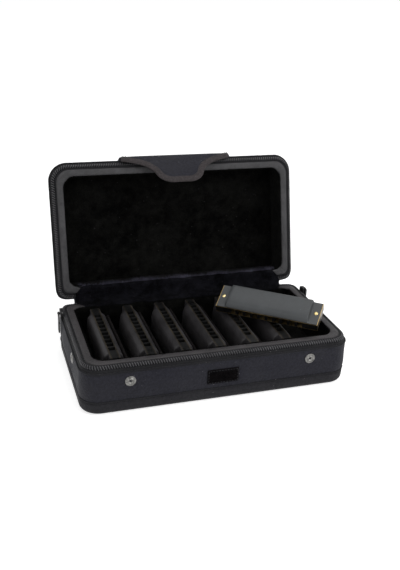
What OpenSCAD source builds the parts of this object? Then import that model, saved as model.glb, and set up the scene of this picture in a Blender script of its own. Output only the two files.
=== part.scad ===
// Zipped fabric case for seven ten-hole harmonicas, standing open.
// Origin: centre of the underside. +X runs along the case, +Y to the hinge, +Z up.
// Both halves are drawn below their own rim plane, then put in place.

/* [Harmonica] */
// Length of one harmonica
organ_l = 102; // [90:1:126]
// Depth of one harmonica from mouth to back
organ_w = 27; // [22:0.5:33]
// Thickness of one harmonica over both covers
organ_t = 20; // [16:0.5:25]
// Thickness of the comb
comb_t = 6.5; // [5:0.1:8]
// Thickness of each reed plate
plate_t = 1; // [0.8:0.1:1.4]
// Sheet thickness of the covers
cover_sheet = 0.8; // [0.5:0.1:1.2]
// Length of the flat tab at each end of a cover
tab_l = 9; // [7:0.5:12]
// Number of mouth holes
hole_count = 10; // [8:1:12]
// Distance between two neighbouring mouth holes
hole_pitch = 7.5; // [6.5:0.1:8]
// Width of one mouth hole
hole_w = 5; // [4:0.1:6]
// Depth of the chambers behind the mouth holes
hole_depth = 21; // [15:0.5:24]
// Distance of the covers from the edges of the reed plates
cover_in = 0.3; // [0.1:0.1:1]
// Height that the cover falls at its mouth side slope
mouth_fall = 4.8; // [3:0.1:5.5]
// Width of the mouth side slope
mouth_slope = 5; // [3:0.1:7]
// Run of the small slope at the cover's back edge
back_slope = 2; // [1:0.1:3]
// Fall of that slope
back_fall = 1.6; // [0.8:0.1:2]
// Height of the turned lip over the cover's open back
back_lip = 0.8; // [0.5:0.1:1.5]
// Radius of the rivet shanks
rivet_r = 1.1; // [0.8:0.05:1.5]
// Radius of the rivet heads
rivet_head_r = 2; // [1.5:0.1:3]
// Height of the rivet heads
rivet_head_h = 0.7; // [0.4:0.1:1.2]

/* [Slots] */
// Number of slots
slot_count = 7; // [3:1:8]
// Room beside a harmonica in its slot
slot_play = 9.8; // [5:0.2:14]
// Thickness of a divider
divider_t = 3; // [2:0.5:5]
// Height of the dividers above the floor pad
divider_h = 17.5; // [8:0.5:22]
// Room past the first and the last slot
end_room = 1.2; // [0.5:0.1:6]
// Room past each end of a harmonica
organ_end_room = 4; // [2:0.5:10]
// Side gap that a stored harmonica keeps to its right divider
lean_gap = 1.9; // [0.5:0.1:2.5]
// How far the stored harmonicas stay below the rim
rim_drop = 1.4; // [0.5:0.1:4]

/* [Walls] */
// Height of the base up to its rim
base_h = 48; // [44:1:62]
// Thickness of the outer fabric and of the moulded pans
skin_t = 1.2; // [0.8:0.1:1.8]
// Thickness of the foam core
core_t = 9.8; // [7:0.2:13]
// Thickness of the plush lining
plush_t = 2; // [1:0.1:3]
// Thickness of the stiffening boards
board_t = 2.5; // [1.5:0.1:3.5]
// Outer corner radius seen from above
corner_r = 18; // [15:0.5:24]
// Rounding along the lower edge of the base and the upper edge of the lid
edge_r = 5; // [3:0.5:7]
// Room between a fitted board or pad and the wall round it
fit_gap = 0.2; // [0.1:0.05:0.5]
// Height of the lower piping over the underside
base_piping_h = 13; // [9:0.5:16]
// Distance of the lid's piping from its outer face
lid_piping_h = 10; // [8:0.5:13]
// Radius of the piping
piping_r = 0.9; // [0.6:0.1:1.1]

/* [Rim and zip] */
// Distance of the leatherette band from the outer wall
rim_inset = 5; // [3.5:0.1:6.5]
// Thickness of the leatherette band
band_t = 1.5; // [1:0.1:2]
// Rounding of the band's two edges
band_edge = 0.5; // [0.2:0.1:0.6]
// Height of the slope that carries the zip tape
slope_h = 5; // [4:0.1:7]
// Thickness of the zip tape
tape_t = 1; // [0.6:0.1:1.2]
// Radius of the zip coil
coil_r = 0.8; // [0.6:0.05:1]
// Distance of the coil from the foot of the slope
coil_s = 5.2; // [4:0.1:5.5]
// Radius of the seam ridge under the zip tape
seam_r = 0.8; // [0.5:0.1:0.9]
// Gap between the two rims when the lid is shut
seam_gap = 0.6; // [0.4:0.1:1]

/* [Lid] */
// Angle that the lid stands open
lid_open = 105; // [90:1:115]
// Distance of the hinge line behind the rear wall
hinge_out = 1.2; // [0.8:0.1:2]
// Room between the loose harmonica and the lid's lining when the lid is shut
loose_room = 2.6; // [1:0.1:6]

/* [Loose harmonica] */
// Turn of the loose harmonica from the case's long side
loose_yaw = 38; // [25:1:45]
// Tilt of its mouth side down to the front
loose_roll = 27; // [0:1:32]
// Gap under the loose harmonica
loose_gap = 0.3; // [0.2:0.05:0.6]
// Side gap between the loose harmonica and the lining
loose_side_gap = 0.8; // [0.5:0.1:5]
// Front gap between the loose harmonica and the lining
loose_front_gap = 2; // [1.5:0.1:8]

/* [Flap] */
// Length of the flap from its fold to its tip
flap_l = 35; // [28:0.5:36]
// Half width of the flap at its root
flap_root = 57; // [45:1:62]
// Half width of the flap near its tip
flap_tip = 27; // [20:1:30]
// Length over which the wings run out
flap_fall = 5; // [3:0.5:7]
// Where the wings start to narrow
flap_wing = 5.5; // [4:0.5:8]
// Radius of the two rounded corners at the tip
flap_round = 13; // [8:0.5:16]
// Thickness of the flap's panel
flap_t = 1.6; // [1.2:0.1:2.2]
// Width of the webbing that binds the flap
bind_w = 6; // [4:0.5:8]
// How far the binding stands proud of the panel
bind_lift = 0.3; // [0.2:0.05:0.4]
// How far the flap stands bent towards the mouth of the open lid
flap_bend = 48; // [20:1:60]
// Distance of the fold from the shut rim plane
fold_up = 1.9; // [1.5:0.1:3]
// Radius of the roll along the fold
fold_r = 1.1; // [0.8:0.1:1.1]
// Gap between that roll and the root pad
fold_gap = 0.4; // [0.3:0.05:0.6]
// Distance from the fold to the crease over which the tongue peels
crease_s = 12; // [10:0.5:15]
// Radius of the roll along the crease
crease_r = 0.8; // [0.6:0.05:0.9]
// Distance of the upper part and of the bindings from the crease
crease_gap = 1.1; // [0.9:0.1:1.5]
// Height of the root pad on the lid
root_h = 13; // [10:0.5:14]

/* [Loop patch and studs] */
// Width of the loop patch
patch_w = 27; // [20:0.5:32]
// Height of the loop patch
patch_h = 14; // [10:0.5:18]
// Height of the patch's centre
patch_z = 25.5; // [22:0.5:30]
// Thickness of the loop patch
patch_t = 1.2; // [0.8:0.1:1.6]
// Thickness of the hook patch
hook_t = 0.8; // [0.5:0.1:1.2]
// Gap between the hooks and the loops when the lid is shut
grip_gap = 0.4; // [0.3:0.05:0.8]
// Radius of a stud's flange
stud_r = 5; // [4:0.1:6]
// Thickness of a stud's flange
stud_t = 0.9; // [0.6:0.1:1.2]
// Radius of a stud's raised centre
stud_hub_r = 2.8; // [2:0.1:3.5]
// Height of a stud's raised centre over the wall
stud_hub_t = 1.4; // [1:0.1:1.6]
// Radius of a stud's shank
shank_r = 1.5; // [1:0.1:2]
// Depth of a stud's shank in the wall
shank_l = 6; // [4:0.5:8]
// Distance of the front studs from the case's ends
front_stud_in = 43; // [30:1:60]
// Height of the front studs
front_stud_z = 32; // [28:0.5:34]
// Distance of the side studs in front of the middle
side_stud_y = 20; // [0:1:30]
// Height of the side studs
side_stud_z = 34; // [28:0.5:35]
// Distance of the lid's studs from its rear wall
lid_stud_v = 61; // [40:1:80]
// Distance of the lid's studs behind its rim
lid_stud_w = 15; // [14:0.5:18]

/* [Zip sliders] */
// Length of a slider
slider_l = 10; // [8:0.5:12]
// How far a slider stands out of the wall
slider_out = 1.6; // [1:0.1:1.8]
// Half height of a slider
slider_half = 3.9; // [3:0.1:4.2]
// Gap between a slider and the coil
slider_gap = 0.32; // [0.25:0.01:0.5]
// Distance of the pull's pin from the wall
pin_out = 2.9; // [2.7:0.1:3.5]
// Radius of the pull's pin
pin_r = 0.7; // [0.5:0.05:0.9]
// Running clearance of the pin
pin_gap = 0.05; // [0.02:0.01:0.1]
// Width of the slider's lug
lug_w = 2.4; // [1.8:0.1:3]
// Length of a pull below its pin
pull_l = 21; // [15:0.5:24]
// Length of the two arms that hold the pin
arm_l = 4; // [3:0.5:6]
// Gap between an arm and the slider's lug
arm_gap = 0.3; // [0.2:0.05:0.5]
// Wall of the lug round the pin
lug_wall = 0.6; // [0.5:0.05:0.8]
// Distance of a parked slider from the rear corner
park_gap = 0.5; // [0.3:0.1:5]
// Width of a pull
pull_w = 6; // [5:0.2:8]
// Thickness of a pull
pull_t = 1.2; // [1:0.1:1.6]

/* [Hidden] */
wall_t = skin_t + core_t + plush_t;
slot_pitch = organ_t + slot_play + divider_t;
inner_l = slot_count * slot_pitch + 2 * end_room;
inner_d = organ_l + 2 * organ_end_room;
case_l = inner_l + 2 * wall_t;
case_d = inner_d + 2 * wall_t;
inner_r = corner_r - wall_t;
core_in = skin_t + core_t;
floor_z = skin_t + board_t;
stored_top = base_h - rim_drop;
pad_top = stored_top - organ_w - fit_gap;
organ_shift = slot_play / 2 - lean_gap;
plate_z = comb_t / 2 + plate_t;
mid_l = organ_l - 2 * tab_l;

// Lowest and highest reach of the tilted instrument from its centre
reach_down = max((organ_w / 2 - mouth_slope) * sin(loose_roll) + organ_t / 2 * cos(loose_roll),
                 organ_w / 2 * sin(loose_roll) + (plate_z + cover_sheet + rivet_head_h) * cos(loose_roll));
reach_up = organ_w / 2 * sin(loose_roll) + organ_t / 2 * cos(loose_roll);
loose_z = stored_top + loose_gap + reach_down;
reach_out = organ_w / 2 * cos(loose_roll) + plate_z * sin(loose_roll);
reach_x = organ_l / 2 * cos(loose_yaw) + reach_out * sin(loose_yaw);
reach_y = organ_l / 2 * sin(loose_yaw) + reach_out * cos(loose_yaw);
loose_x = inner_l / 2 - loose_side_gap - reach_x;
loose_y = reach_y + loose_front_gap - inner_d / 2;

lid_h = loose_z + reach_up + loose_room + plush_t + board_t + skin_t - base_h - seam_gap;
hinge_y = case_d / 2 + hinge_out;
hinge_z = base_h + seam_gap / 2;

// Slope that carries the zip tape: foot, direction up the slope and direction out of it
slope_foot = [skin_t, -band_t - slope_h];
slope_len = norm([rim_inset - skin_t, slope_h]);
slope_u = [rim_inset - skin_t, slope_h] / slope_len;
slope_n = [-slope_u.y, slope_u.x];
// Where the tape starts on the slope; how deep the seam and the piping sit in the wall, how far
// below the slope the seam lies, and the room round them
tape_start = 0.3;
seam_in = 0.2;
seam_low = 0.4;
seam_clear = 0.05;
seam_z = slope_foot.y - seam_low;
cover_top = seam_z - seam_r - seam_clear;
coil_at = slope_foot + slope_u * coil_s + slope_n * (tape_t + coil_r + seam_clear);

flap_face = case_d / 2 + patch_t + grip_gap + hook_t;
fold_y = -(flap_face + flap_t / 2);
fold_z = hinge_z + fold_up;
flap_start = fold_r + fold_gap;
wing_l = flap_l - flap_round - flap_wing;
wing_steps = 8;
upper_end = crease_s - crease_gap;
tongue_start = crease_s + crease_gap;
root_low = base_h + seam_gap - cover_top + fit_gap;
slider_in = coil_at.x - coil_r - slider_gap;
slider_y = case_d / 2 - corner_r - slider_l / 2 - park_gap;

// Both strips of the hinge lie between the rear corners
strip_l = case_l - 2 * corner_r - 2 * skin_t;
// Outer strip: thickness, gap to the lid, lie on the wall, reach up the slope and sag
strip_t = 1.5;
strip_gap = 0.35;
strip_low = 0.8;
strip_up = 4.5;
strip_bow = 1.2;
// Inner strip: reach back over the core, and its height under the shut rims
lining_reach = 8.2;
lining_low = 0.1;
lining_bend = 1;
// Room between the two strips at the bend
strip_clear = 0.3;

fine = 48;
cut = 1;

// Half width of the flap at the distance s from its fold, where the wings run out
function wing(s) = flap_tip + (flap_root - flap_tip) * exp(-(s - flap_wing) / flap_fall);

// Points along a circular arc, from angle a to angle b
function arc(c, r, a, b, n = 6) =
  [for (i = [0:n]) let (t = a + (b - a) * i / n) c + r * [cos(t), sin(t)]];

// Where a point of the shut lid, seen from the side, lies when the lid stands open
function opened(p) = let (q = p - [hinge_y, hinge_z])
  [hinge_y + q.x * cos(lid_open) + q.y * sin(lid_open), hinge_z - q.x * sin(lid_open) + q.y * cos(lid_open)];

function slot_x(k) = (k - (slot_count - 1) / 2) * slot_pitch;

// Right edge of the flap from the fold down to the middle of its tip
flap_side = concat(
  [[flap_root, cut], [flap_root, -flap_wing]],
  [for (i = [1:wing_steps]) let (s = flap_wing + wing_l * i / wing_steps) [wing(s), -s]]);
flap_corner = [wing(flap_l - flap_round) - flap_round, flap_round - flap_l];
flap_edge = concat(flap_side, arc(flap_corner, flap_round, 0, -90));
crease_half = wing(crease_s + crease_r) - 2 * bind_w;

// A wall section, drawn as distance in from the outer face by height, run along a straight wall
module wall_run(l) rotate([90, 0, 90]) linear_extrude(l, center = true) children();

// The same section carried round a corner
module corner_turn() rotate_extrude(angle = 90, $fn = fine)
  translate([corner_r, 0]) mirror([1, 0]) children();

// The section carried round the case, with or without its straight rear stretch
module ring(rear = true) {
  run_x = case_l - 2 * corner_r;
  run_y = case_d - 2 * corner_r;
  translate([0, -case_d / 2, 0]) wall_run(run_x) children();
  translate([-case_l / 2, 0, 0]) rotate(-90) wall_run(run_y) children();
  translate([case_l / 2, 0, 0]) rotate(90) wall_run(run_y) children();
  if (rear) translate([0, case_d / 2, 0]) rotate(180) wall_run(run_x) children();
  translate([run_x / 2, run_y / 2, 0]) corner_turn() children();
  translate([-run_x / 2, run_y / 2, 0]) rotate(90) corner_turn() children();
  translate([-run_x / 2, -run_y / 2, 0]) rotate(180) corner_turn() children();
  translate([run_x / 2, -run_y / 2, 0]) rotate(270) corner_turn() children();
}

// A flat plate that follows the case's outline at a distance in from the wall
module plate(inset, h) {
  l = case_l - 2 * inset;
  d = case_d - 2 * inset;
  r = corner_r - inset;
  translate([0, 0, h / 2]) {
    cube([l - 2 * r, d, h], center = true);
    cube([l, d - 2 * r, h], center = true);
    for (x = [-1, 1], y = [-1, 1])
      translate([x * (l / 2 - r), y * (d / 2 - r), 0]) cylinder(h = h, r = r, center = true, $fn = fine);
  }
}

module base_half() translate([0, 0, base_h]) children();
module open_lid() translate([0, hinge_y, hinge_z]) rotate([-lid_open, 0, 0])
  translate([0, -hinge_y, -hinge_z]) children();
module lid_half() open_lid() translate([0, 0, base_h + seam_gap]) mirror([0, 0, 1]) children();

// Studs: a flange, a raised centre and a shank, standing out along +Z from the wall's face
module stud() {
  cylinder(h = stud_t, r = stud_r, $fn = fine);
  cylinder(h = stud_hub_t, r = stud_hub_r, $fn = fine);
  translate([0, 0, -shank_l]) cylinder(h = shank_l, r = shank_r, $fn = fine);
}

module stud_bore() translate([0, 0, -shank_l - fit_gap])
  cylinder(h = shank_l + fit_gap + cut, r = shank_r + fit_gap, $fn = fine);

module at_front_studs() for (x = [-1, 1])
  translate([x * (case_l / 2 - front_stud_in), -case_d / 2, front_stud_z]) rotate([90, 0, 0]) children();

module at_side_studs() for (x = [-1, 1])
  translate([x * case_l / 2, -side_stud_y, side_stud_z]) rotate([0, x * 90, 0]) children();

module at_lid_studs() for (x = [-1, 1])
  translate([x * case_l / 2, case_d / 2 - lid_stud_v, -lid_stud_w]) rotate([0, x * 90, 0]) children();

// Wall pieces shared by both halves, drawn below the rim plane; depth is the half's height
module pan(depth, piping_h) {
  top = piping_h - piping_r - seam_clear;
  ring() polygon(concat(
    [[0, top - depth]],
    arc([edge_r, edge_r - depth], edge_r, 180, 270),
    [[edge_r + cut, -depth], [edge_r + cut, skin_t - depth]],
    arc([edge_r, edge_r - depth], edge_r - skin_t, 270, 180),
    [[skin_t, top - depth]]));
  translate([0, 0, -depth]) plate(edge_r, skin_t);
}

module core(depth) ring() polygon([
  [skin_t, edge_r - depth], [edge_r, skin_t - depth], [core_in, skin_t - depth],
  [core_in, -band_t], [rim_inset, -band_t], slope_foot]);

module side_cover(depth, piping_h) ring()
  translate([0, piping_h + piping_r + seam_clear - depth])
    square([skin_t, cover_top - piping_h - piping_r - seam_clear + depth]);

module piping(depth, piping_h) ring() translate([seam_in, piping_h - depth]) circle(piping_r, $fn = fine);

module seam() ring() translate([seam_in, seam_z]) circle(seam_r, $fn = fine);

module band() ring(false) polygon([
  [rim_inset, -band_t], [rim_inset, -band_edge], [rim_inset + band_edge, 0],
  [wall_t - band_edge, 0], [wall_t, -band_edge], [wall_t, -band_t]]);

module tape() ring(false) polygon([
  slope_foot + slope_u * tape_start, slope_foot + slope_u * slope_len,
  slope_foot + slope_u * slope_len + slope_n * tape_t, slope_foot + slope_u * tape_start + slope_n * tape_t]);

module coil() ring(false) translate(coil_at) circle(coil_r, $fn = fine);

module lining(depth) ring() translate([core_in, floor_z - depth]) square([plush_t, depth - floor_z - band_t]);

// Base
module base_bottom_panel() color([0.16, 0.16, 0.19]) base_half() pan(base_h, base_piping_h);
module base_floor_board() color("dimgray") translate([0, 0, skin_t]) plate(core_in + fit_gap, board_t);
module base_wall_core() color("slategray") difference() {
  base_half() core(base_h);
  at_front_studs() stud_bore();
  at_side_studs() stud_bore();
}
module base_side_cover() color([0.15, 0.15, 0.2]) difference() {
  base_half() side_cover(base_h, base_piping_h);
  at_front_studs() stud_bore();
  at_side_studs() stud_bore();
}
module base_lower_piping() color([0.1, 0.1, 0.12]) base_half() piping(base_h, base_piping_h);
module base_upper_seam() color([0.1, 0.1, 0.12]) base_half() seam();
module base_rim_band() color([0.3, 0.28, 0.28]) base_half() band();
module base_zip_tape() color([0.12, 0.12, 0.13]) base_half() tape();
module base_zip_coil() color("black") base_half() coil();
module base_lining() color([0.06, 0.06, 0.07]) base_half() lining(base_h);

module slot_floor_pad() color([0.07, 0.07, 0.08])
  translate([0, 0, floor_z]) plate(wall_t + fit_gap, pad_top - floor_z);

module slot_dividers() color([0.09, 0.08, 0.1]) for (k = [1:slot_count - 1])
  translate([slot_x(k) - (slot_pitch + divider_t) / 2, fit_gap - inner_d / 2, pad_top])
    cube([divider_t, inner_d - 2 * fit_gap, divider_h]);

module front_loop_patch() color([0.1, 0.08, 0.09])
  translate([-patch_w / 2, -case_d / 2 - patch_t, patch_z - patch_h / 2]) cube([patch_w, patch_t, patch_h]);

module front_studs() color("silver") at_front_studs() stud();
module side_studs() color("silver") at_side_studs() stud();

// Hinge: an outer strip from seam to seam, and a strip of plush inside, both bent by the open lid
module hinge_strip(section) rotate([90, 0, 90]) linear_extrude(strip_l, center = true) polygon(section);

module hinge_fabric() color([0.13, 0.13, 0.16]) {
  foot = [case_d / 2 - seam_in - strip_low, base_h + seam_z + seam_r + seam_clear];
  lip = foot + [strip_t, 0];
  inner = [case_d / 2 - slope_foot.x - slope_u.x * strip_up, base_h + slope_foot.y + slope_u.y * strip_up];
  lid_foot = opened([foot.x, 2 * hinge_z - foot.y - strip_gap]);
  lid_lip = opened([lip.x - strip_gap, 2 * hinge_z - foot.y - strip_gap]);
  lid_inner = opened([inner.x + strip_gap, 2 * hinge_z - inner.y - strip_gap / 2]);
  bow = (lip + lid_lip) / 2 + strip_bow * [sin(45), -cos(45)];
  crease = [hinge_y + strip_clear, hinge_z - lining_bend - strip_clear];
  hinge_strip([foot, lip, bow, lid_lip, lid_foot, lid_inner, crease, inner]);
}

module hinge_lining() color([0.1, 0.1, 0.13]) {
  low = base_h - band_t;
  back = inner_d / 2 + lining_reach;
  high = 2 * hinge_z - low - strip_gap;
  face = base_h - lining_low;
  lid_face = 2 * hinge_z - face;
  section = [
    [inner_d / 2, low], [back, low], [hinge_y, hinge_z - lining_bend], opened([back, high]),
    opened([inner_d / 2, high]), opened([inner_d / 2, lid_face]), opened([back, lid_face]),
    [hinge_y - lining_bend, hinge_z + lining_bend], [back - lining_bend, face], [inner_d / 2, face]];
  hinge_strip(section);
}

// Lid
module lid_top_panel() color([0.15, 0.15, 0.18]) lid_half() pan(lid_h, lid_piping_h);
module lid_top_board() color("dimgray") lid_half()
  translate([0, 0, skin_t - lid_h]) plate(core_in + fit_gap, board_t);
module lid_wall_core() color("slategray") lid_half() difference() {
  core(lid_h);
  at_lid_studs() stud_bore();
}
module lid_side_cover() color([0.15, 0.15, 0.2]) lid_half() difference() {
  side_cover(lid_h, lid_piping_h);
  at_lid_studs() stud_bore();
}
module lid_piping() color([0.1, 0.1, 0.12]) lid_half() piping(lid_h, lid_piping_h);
module lid_upper_seam() color([0.1, 0.1, 0.12]) lid_half() seam();
module lid_rim_band() color([0.33, 0.32, 0.33]) lid_half() band();
module lid_zip_tape() color([0.12, 0.12, 0.13]) lid_half() tape();
module lid_zip_coil() color("black") lid_half() coil();
module lid_lining() color([0.05, 0.05, 0.06]) lid_half() {
  lining(lid_h);
  translate([0, 0, floor_z - lid_h]) plate(core_in + fit_gap, plush_t);
}
module lid_side_studs() color("silver") lid_half() at_lid_studs() stud();

// Flap, drawn on the shut case in front of the wall, then opened with the lid
module flap_root_pad() color([0.17, 0.17, 0.21]) open_lid() {
  translate([-flap_root, fold_y - flap_t / 2, fold_z + flap_start])
    cube([2 * flap_root, flap_t, root_low + root_h - fold_z - flap_start]);
  translate([-flap_root, -flap_face, root_low]) cube([2 * flap_root, flap_face - case_d / 2, root_h]);
}

// The flap's plane: X across, Y up the flap, the fold at Y = 0
module flap_plane() open_lid() translate([0, fold_y, fold_z]) rotate([90 + flap_bend, 0, 0]) children();

module flap_outline() polygon(concat(
  flap_edge, [for (i = [len(flap_edge) - 1:-1:0]) [-flap_edge[i].x, flap_edge[i].y]]));

module flap_inside() offset(delta = -bind_w) union() {
  flap_outline();
  translate([-flap_root, 0]) square([2 * flap_root, 3 * bind_w]);
}
module flap_stretch(a, b) intersection() {
  children();
  translate([-2 * flap_root, -b]) square([4 * flap_root, b - a]);
}

module flap_rim() difference() {
  flap_outline();
  flap_inside();
}

module flap_roll(at, r, half) translate([0, -at, 0]) rotate([0, 90, 0])
  cylinder(h = 2 * half, r = r, center = true, $fn = fine);

module flap_upper_panel() color([0.15, 0.15, 0.2]) flap_plane() {
  linear_extrude(flap_t, center = true) flap_stretch(0, upper_end) flap_inside();
  flap_roll(0, fold_r, flap_root);
}

module flap_upper_binding() color([0.24, 0.23, 0.24]) flap_plane()
  linear_extrude(flap_t + 2 * bind_lift, center = true) flap_stretch(flap_start, upper_end) flap_rim();

module flap_tongue_panel() color([0.15, 0.15, 0.2]) flap_plane() {
  linear_extrude(flap_t, center = true) {
    flap_stretch(tongue_start, flap_l) flap_inside();
    translate([-crease_half, -tongue_start - fit_gap]) square([2 * crease_half, crease_gap + fit_gap]);
  }
  flap_roll(crease_s, crease_r, crease_half);
}

module flap_tongue_binding() color([0.24, 0.23, 0.24]) flap_plane()
  linear_extrude(flap_t + 2 * bind_lift, center = true) flap_stretch(tongue_start, flap_l) flap_rim();

module flap_hook_patch() color([0.1, 0.1, 0.1]) flap_plane() {
  high = patch_z + patch_h / 2 - fold_z;
  low = max(high - patch_h, bind_w + fit_gap - flap_l);
  translate([-patch_w / 2, low, -flap_t / 2 - hook_t]) cube([patch_w, high - low, hook_t]);
}

// Zip sliders at the rear ends of the base's zip, each with a swinging pull
module at_side(x) translate([x * case_l / 2, slider_y, hinge_z]) rotate([0, 0, x > 0 ? 0 : 180]) children();

module pin(l, r) translate([pin_out, 0, 0]) rotate([90, 0, 0])
  cylinder(h = l, r = r, center = true, $fn = fine);

module slider() difference() {
  union() {
    translate([-slider_in, -slider_l / 2, -slider_half])
      cube([slider_in + slider_out, slider_l, 2 * slider_half]);
    translate([slider_out, -lug_w / 2, -pin_r - pin_gap])
      cube([pin_out - slider_out, lug_w, 2 * (pin_r + pin_gap)]);
    pin(lug_w, pin_r + lug_wall);
  }
  pin(slider_l, pin_r + pin_gap);
}

module pull() {
  arm_w = (pull_w - lug_w) / 2 - arm_gap;
  pin(pull_w, pin_r);
  for (y = [-1, 1]) translate([pin_out - pull_t / 2, (y * (pull_w - arm_w) - arm_w) / 2, -arm_l])
    cube([pull_t, arm_w, arm_l]);
  translate([pin_out - pull_t / 2, -pull_w / 2, -pull_l]) cube([pull_t, pull_w, pull_l - arm_l]);
}

module left_zip_slider() color([0.2, 0.2, 0.21]) at_side(-1) slider();
module right_zip_slider() color([0.2, 0.2, 0.21]) at_side(1) slider();
module left_zip_pull() color([0.14, 0.14, 0.15]) at_side(-1) pull();
module right_zip_pull() color([0.14, 0.14, 0.15]) at_side(1) pull();

// One harmonica: length along X, mouth to -Y, covers above and below
module at_rivets() for (x = [-1, 1]) translate([x * (organ_l - tab_l) / 2, 0, 0]) children();
module rivet_bore() at_rivets() cylinder(h = 2 * organ_t, r = rivet_r + pin_gap, center = true, $fn = fine);

module comb() difference() {
  cube([organ_l, organ_w, comb_t], center = true);
  for (k = [1:hole_count])
    translate([(k - (hole_count + 1) / 2) * hole_pitch - hole_w / 2, -organ_w / 2 - cut, -comb_t / 2 - cut])
    cube([hole_w, hole_depth + cut, comb_t + 2 * cut]);
  rivet_bore();
}

module reed_plates() difference() {
  for (z = [-1, 1]) translate([0, 0, z * (comb_t + plate_t) / 2])
    cube([organ_l, organ_w, plate_t], center = true);
  rivet_bore();
}

module cover_plate() {
  front = cover_in - organ_w / 2;
  back = organ_w / 2 - cover_in;
  top = organ_t / 2;
  roof = top - cover_sheet;
  lip_z = top - back_fall - back_lip;
  difference() {
    wall_run(mid_l) polygon([
      [front, plate_z], [front, top - mouth_fall], [front + mouth_slope, top],
      [back - back_slope, top], [back, top - back_fall], [back, plate_z]]);
    wall_run(mid_l - 2 * cover_sheet) polygon([
      [front + cover_sheet, plate_z - cut], [front + cover_sheet, top - mouth_fall],
      [front + mouth_slope, roof], [back - back_slope, roof], [back - cover_sheet, lip_z],
      [back + cut, lip_z], [back + cut, plate_z - cut]]);
  }
  difference() {
    for (x = [-1, 1]) translate([x * (mid_l + tab_l) / 2, 0, plate_z + cover_sheet / 2])
      cube([tab_l, organ_w - 2 * cover_in, cover_sheet], center = true);
    rivet_bore();
  }
}

module covers() {
  cover_plate();
  mirror([0, 0, 1]) cover_plate();
}

module rivets() at_rivets() {
  cylinder(h = 2 * (plate_z + cover_sheet), r = rivet_r, center = true, $fn = fine);
  for (z = [-1, 1]) translate([0, 0, z * (plate_z + cover_sheet + rivet_head_h / 2)])
    cylinder(h = rivet_head_h, r = rivet_head_r, center = true, $fn = fine);
}

module stored(k) translate([slot_x(k - 1) + organ_shift, 0, pad_top + fit_gap + organ_w / 2])
  rotate([-90, 0, 90]) children();
module stored_comb(k) color([0.07, 0.07, 0.07]) stored(k) comb();
module stored_plates(k) color([0.3, 0.24, 0.15]) stored(k) reed_plates();
module stored_covers(k) color([0.17, 0.17, 0.17]) stored(k) covers();

module harmonica_1_comb() stored_comb(1);
module harmonica_1_reed_plates() stored_plates(1);
module harmonica_1_covers() stored_covers(1);
module harmonica_2_comb() stored_comb(2);
module harmonica_2_reed_plates() stored_plates(2);
module harmonica_2_covers() stored_covers(2);
module harmonica_3_comb() stored_comb(3);
module harmonica_3_reed_plates() stored_plates(3);
module harmonica_3_covers() stored_covers(3);
module harmonica_4_comb() stored_comb(4);
module harmonica_4_reed_plates() stored_plates(4);
module harmonica_4_covers() stored_covers(4);
module harmonica_5_comb() stored_comb(5);
module harmonica_5_reed_plates() stored_plates(5);
module harmonica_5_covers() stored_covers(5);
module harmonica_6_comb() stored_comb(6);
module harmonica_6_reed_plates() stored_plates(6);
module harmonica_6_covers() stored_covers(6);

module loose() translate([loose_x, loose_y, loose_z]) rotate([loose_roll, 0, -loose_yaw]) children();
module loose_comb() color([0.06, 0.06, 0.06]) loose() comb();
module loose_reed_plates() color([0.75, 0.6, 0.3]) loose() reed_plates();
module loose_covers() color([0.28, 0.29, 0.3]) loose() covers();
module loose_rivets() color([0.85, 0.75, 0.4]) loose() rivets();

base_bottom_panel();
base_floor_board();
base_wall_core();
base_side_cover();
base_lower_piping();
base_upper_seam();
base_rim_band();
base_zip_tape();
base_zip_coil();
base_lining();
slot_floor_pad();
slot_dividers();
front_loop_patch();
front_studs();
side_studs();
hinge_fabric();
hinge_lining();
lid_top_panel();
lid_top_board();
lid_wall_core();
lid_side_cover();
lid_piping();
lid_upper_seam();
lid_rim_band();
lid_zip_tape();
lid_zip_coil();
lid_lining();
lid_side_studs();
flap_root_pad();
flap_upper_panel();
flap_upper_binding();
flap_tongue_panel();
flap_tongue_binding();
flap_hook_patch();
left_zip_slider();
right_zip_slider();
left_zip_pull();
right_zip_pull();
harmonica_1_comb();
harmonica_1_reed_plates();
harmonica_1_covers();
harmonica_2_comb();
harmonica_2_reed_plates();
harmonica_2_covers();
harmonica_3_comb();
harmonica_3_reed_plates();
harmonica_3_covers();
harmonica_4_comb();
harmonica_4_reed_plates();
harmonica_4_covers();
harmonica_5_comb();
harmonica_5_reed_plates();
harmonica_5_covers();
harmonica_6_comb();
harmonica_6_reed_plates();
harmonica_6_covers();
loose_comb();
loose_reed_plates();
loose_covers();
loose_rivets();
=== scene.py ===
# %% [markdown]
# # A zipped case for seven harmonicas, standing open
# The case is foam walls under woven nylon, with a leatherette rim, a coil zip, studs, a black
# plush lining and a flap that folds over the front. Its solids come from a packed CAD model,
# and this notebook dresses them. A dressed piece could be sculpted by hand, but here each one
# is a formula on a grid, so that every size can be read and changed.

# %% The packed model
import math
import bmesh
import bpy
import numpy as np
from mathutils import Matrix, Vector


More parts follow.
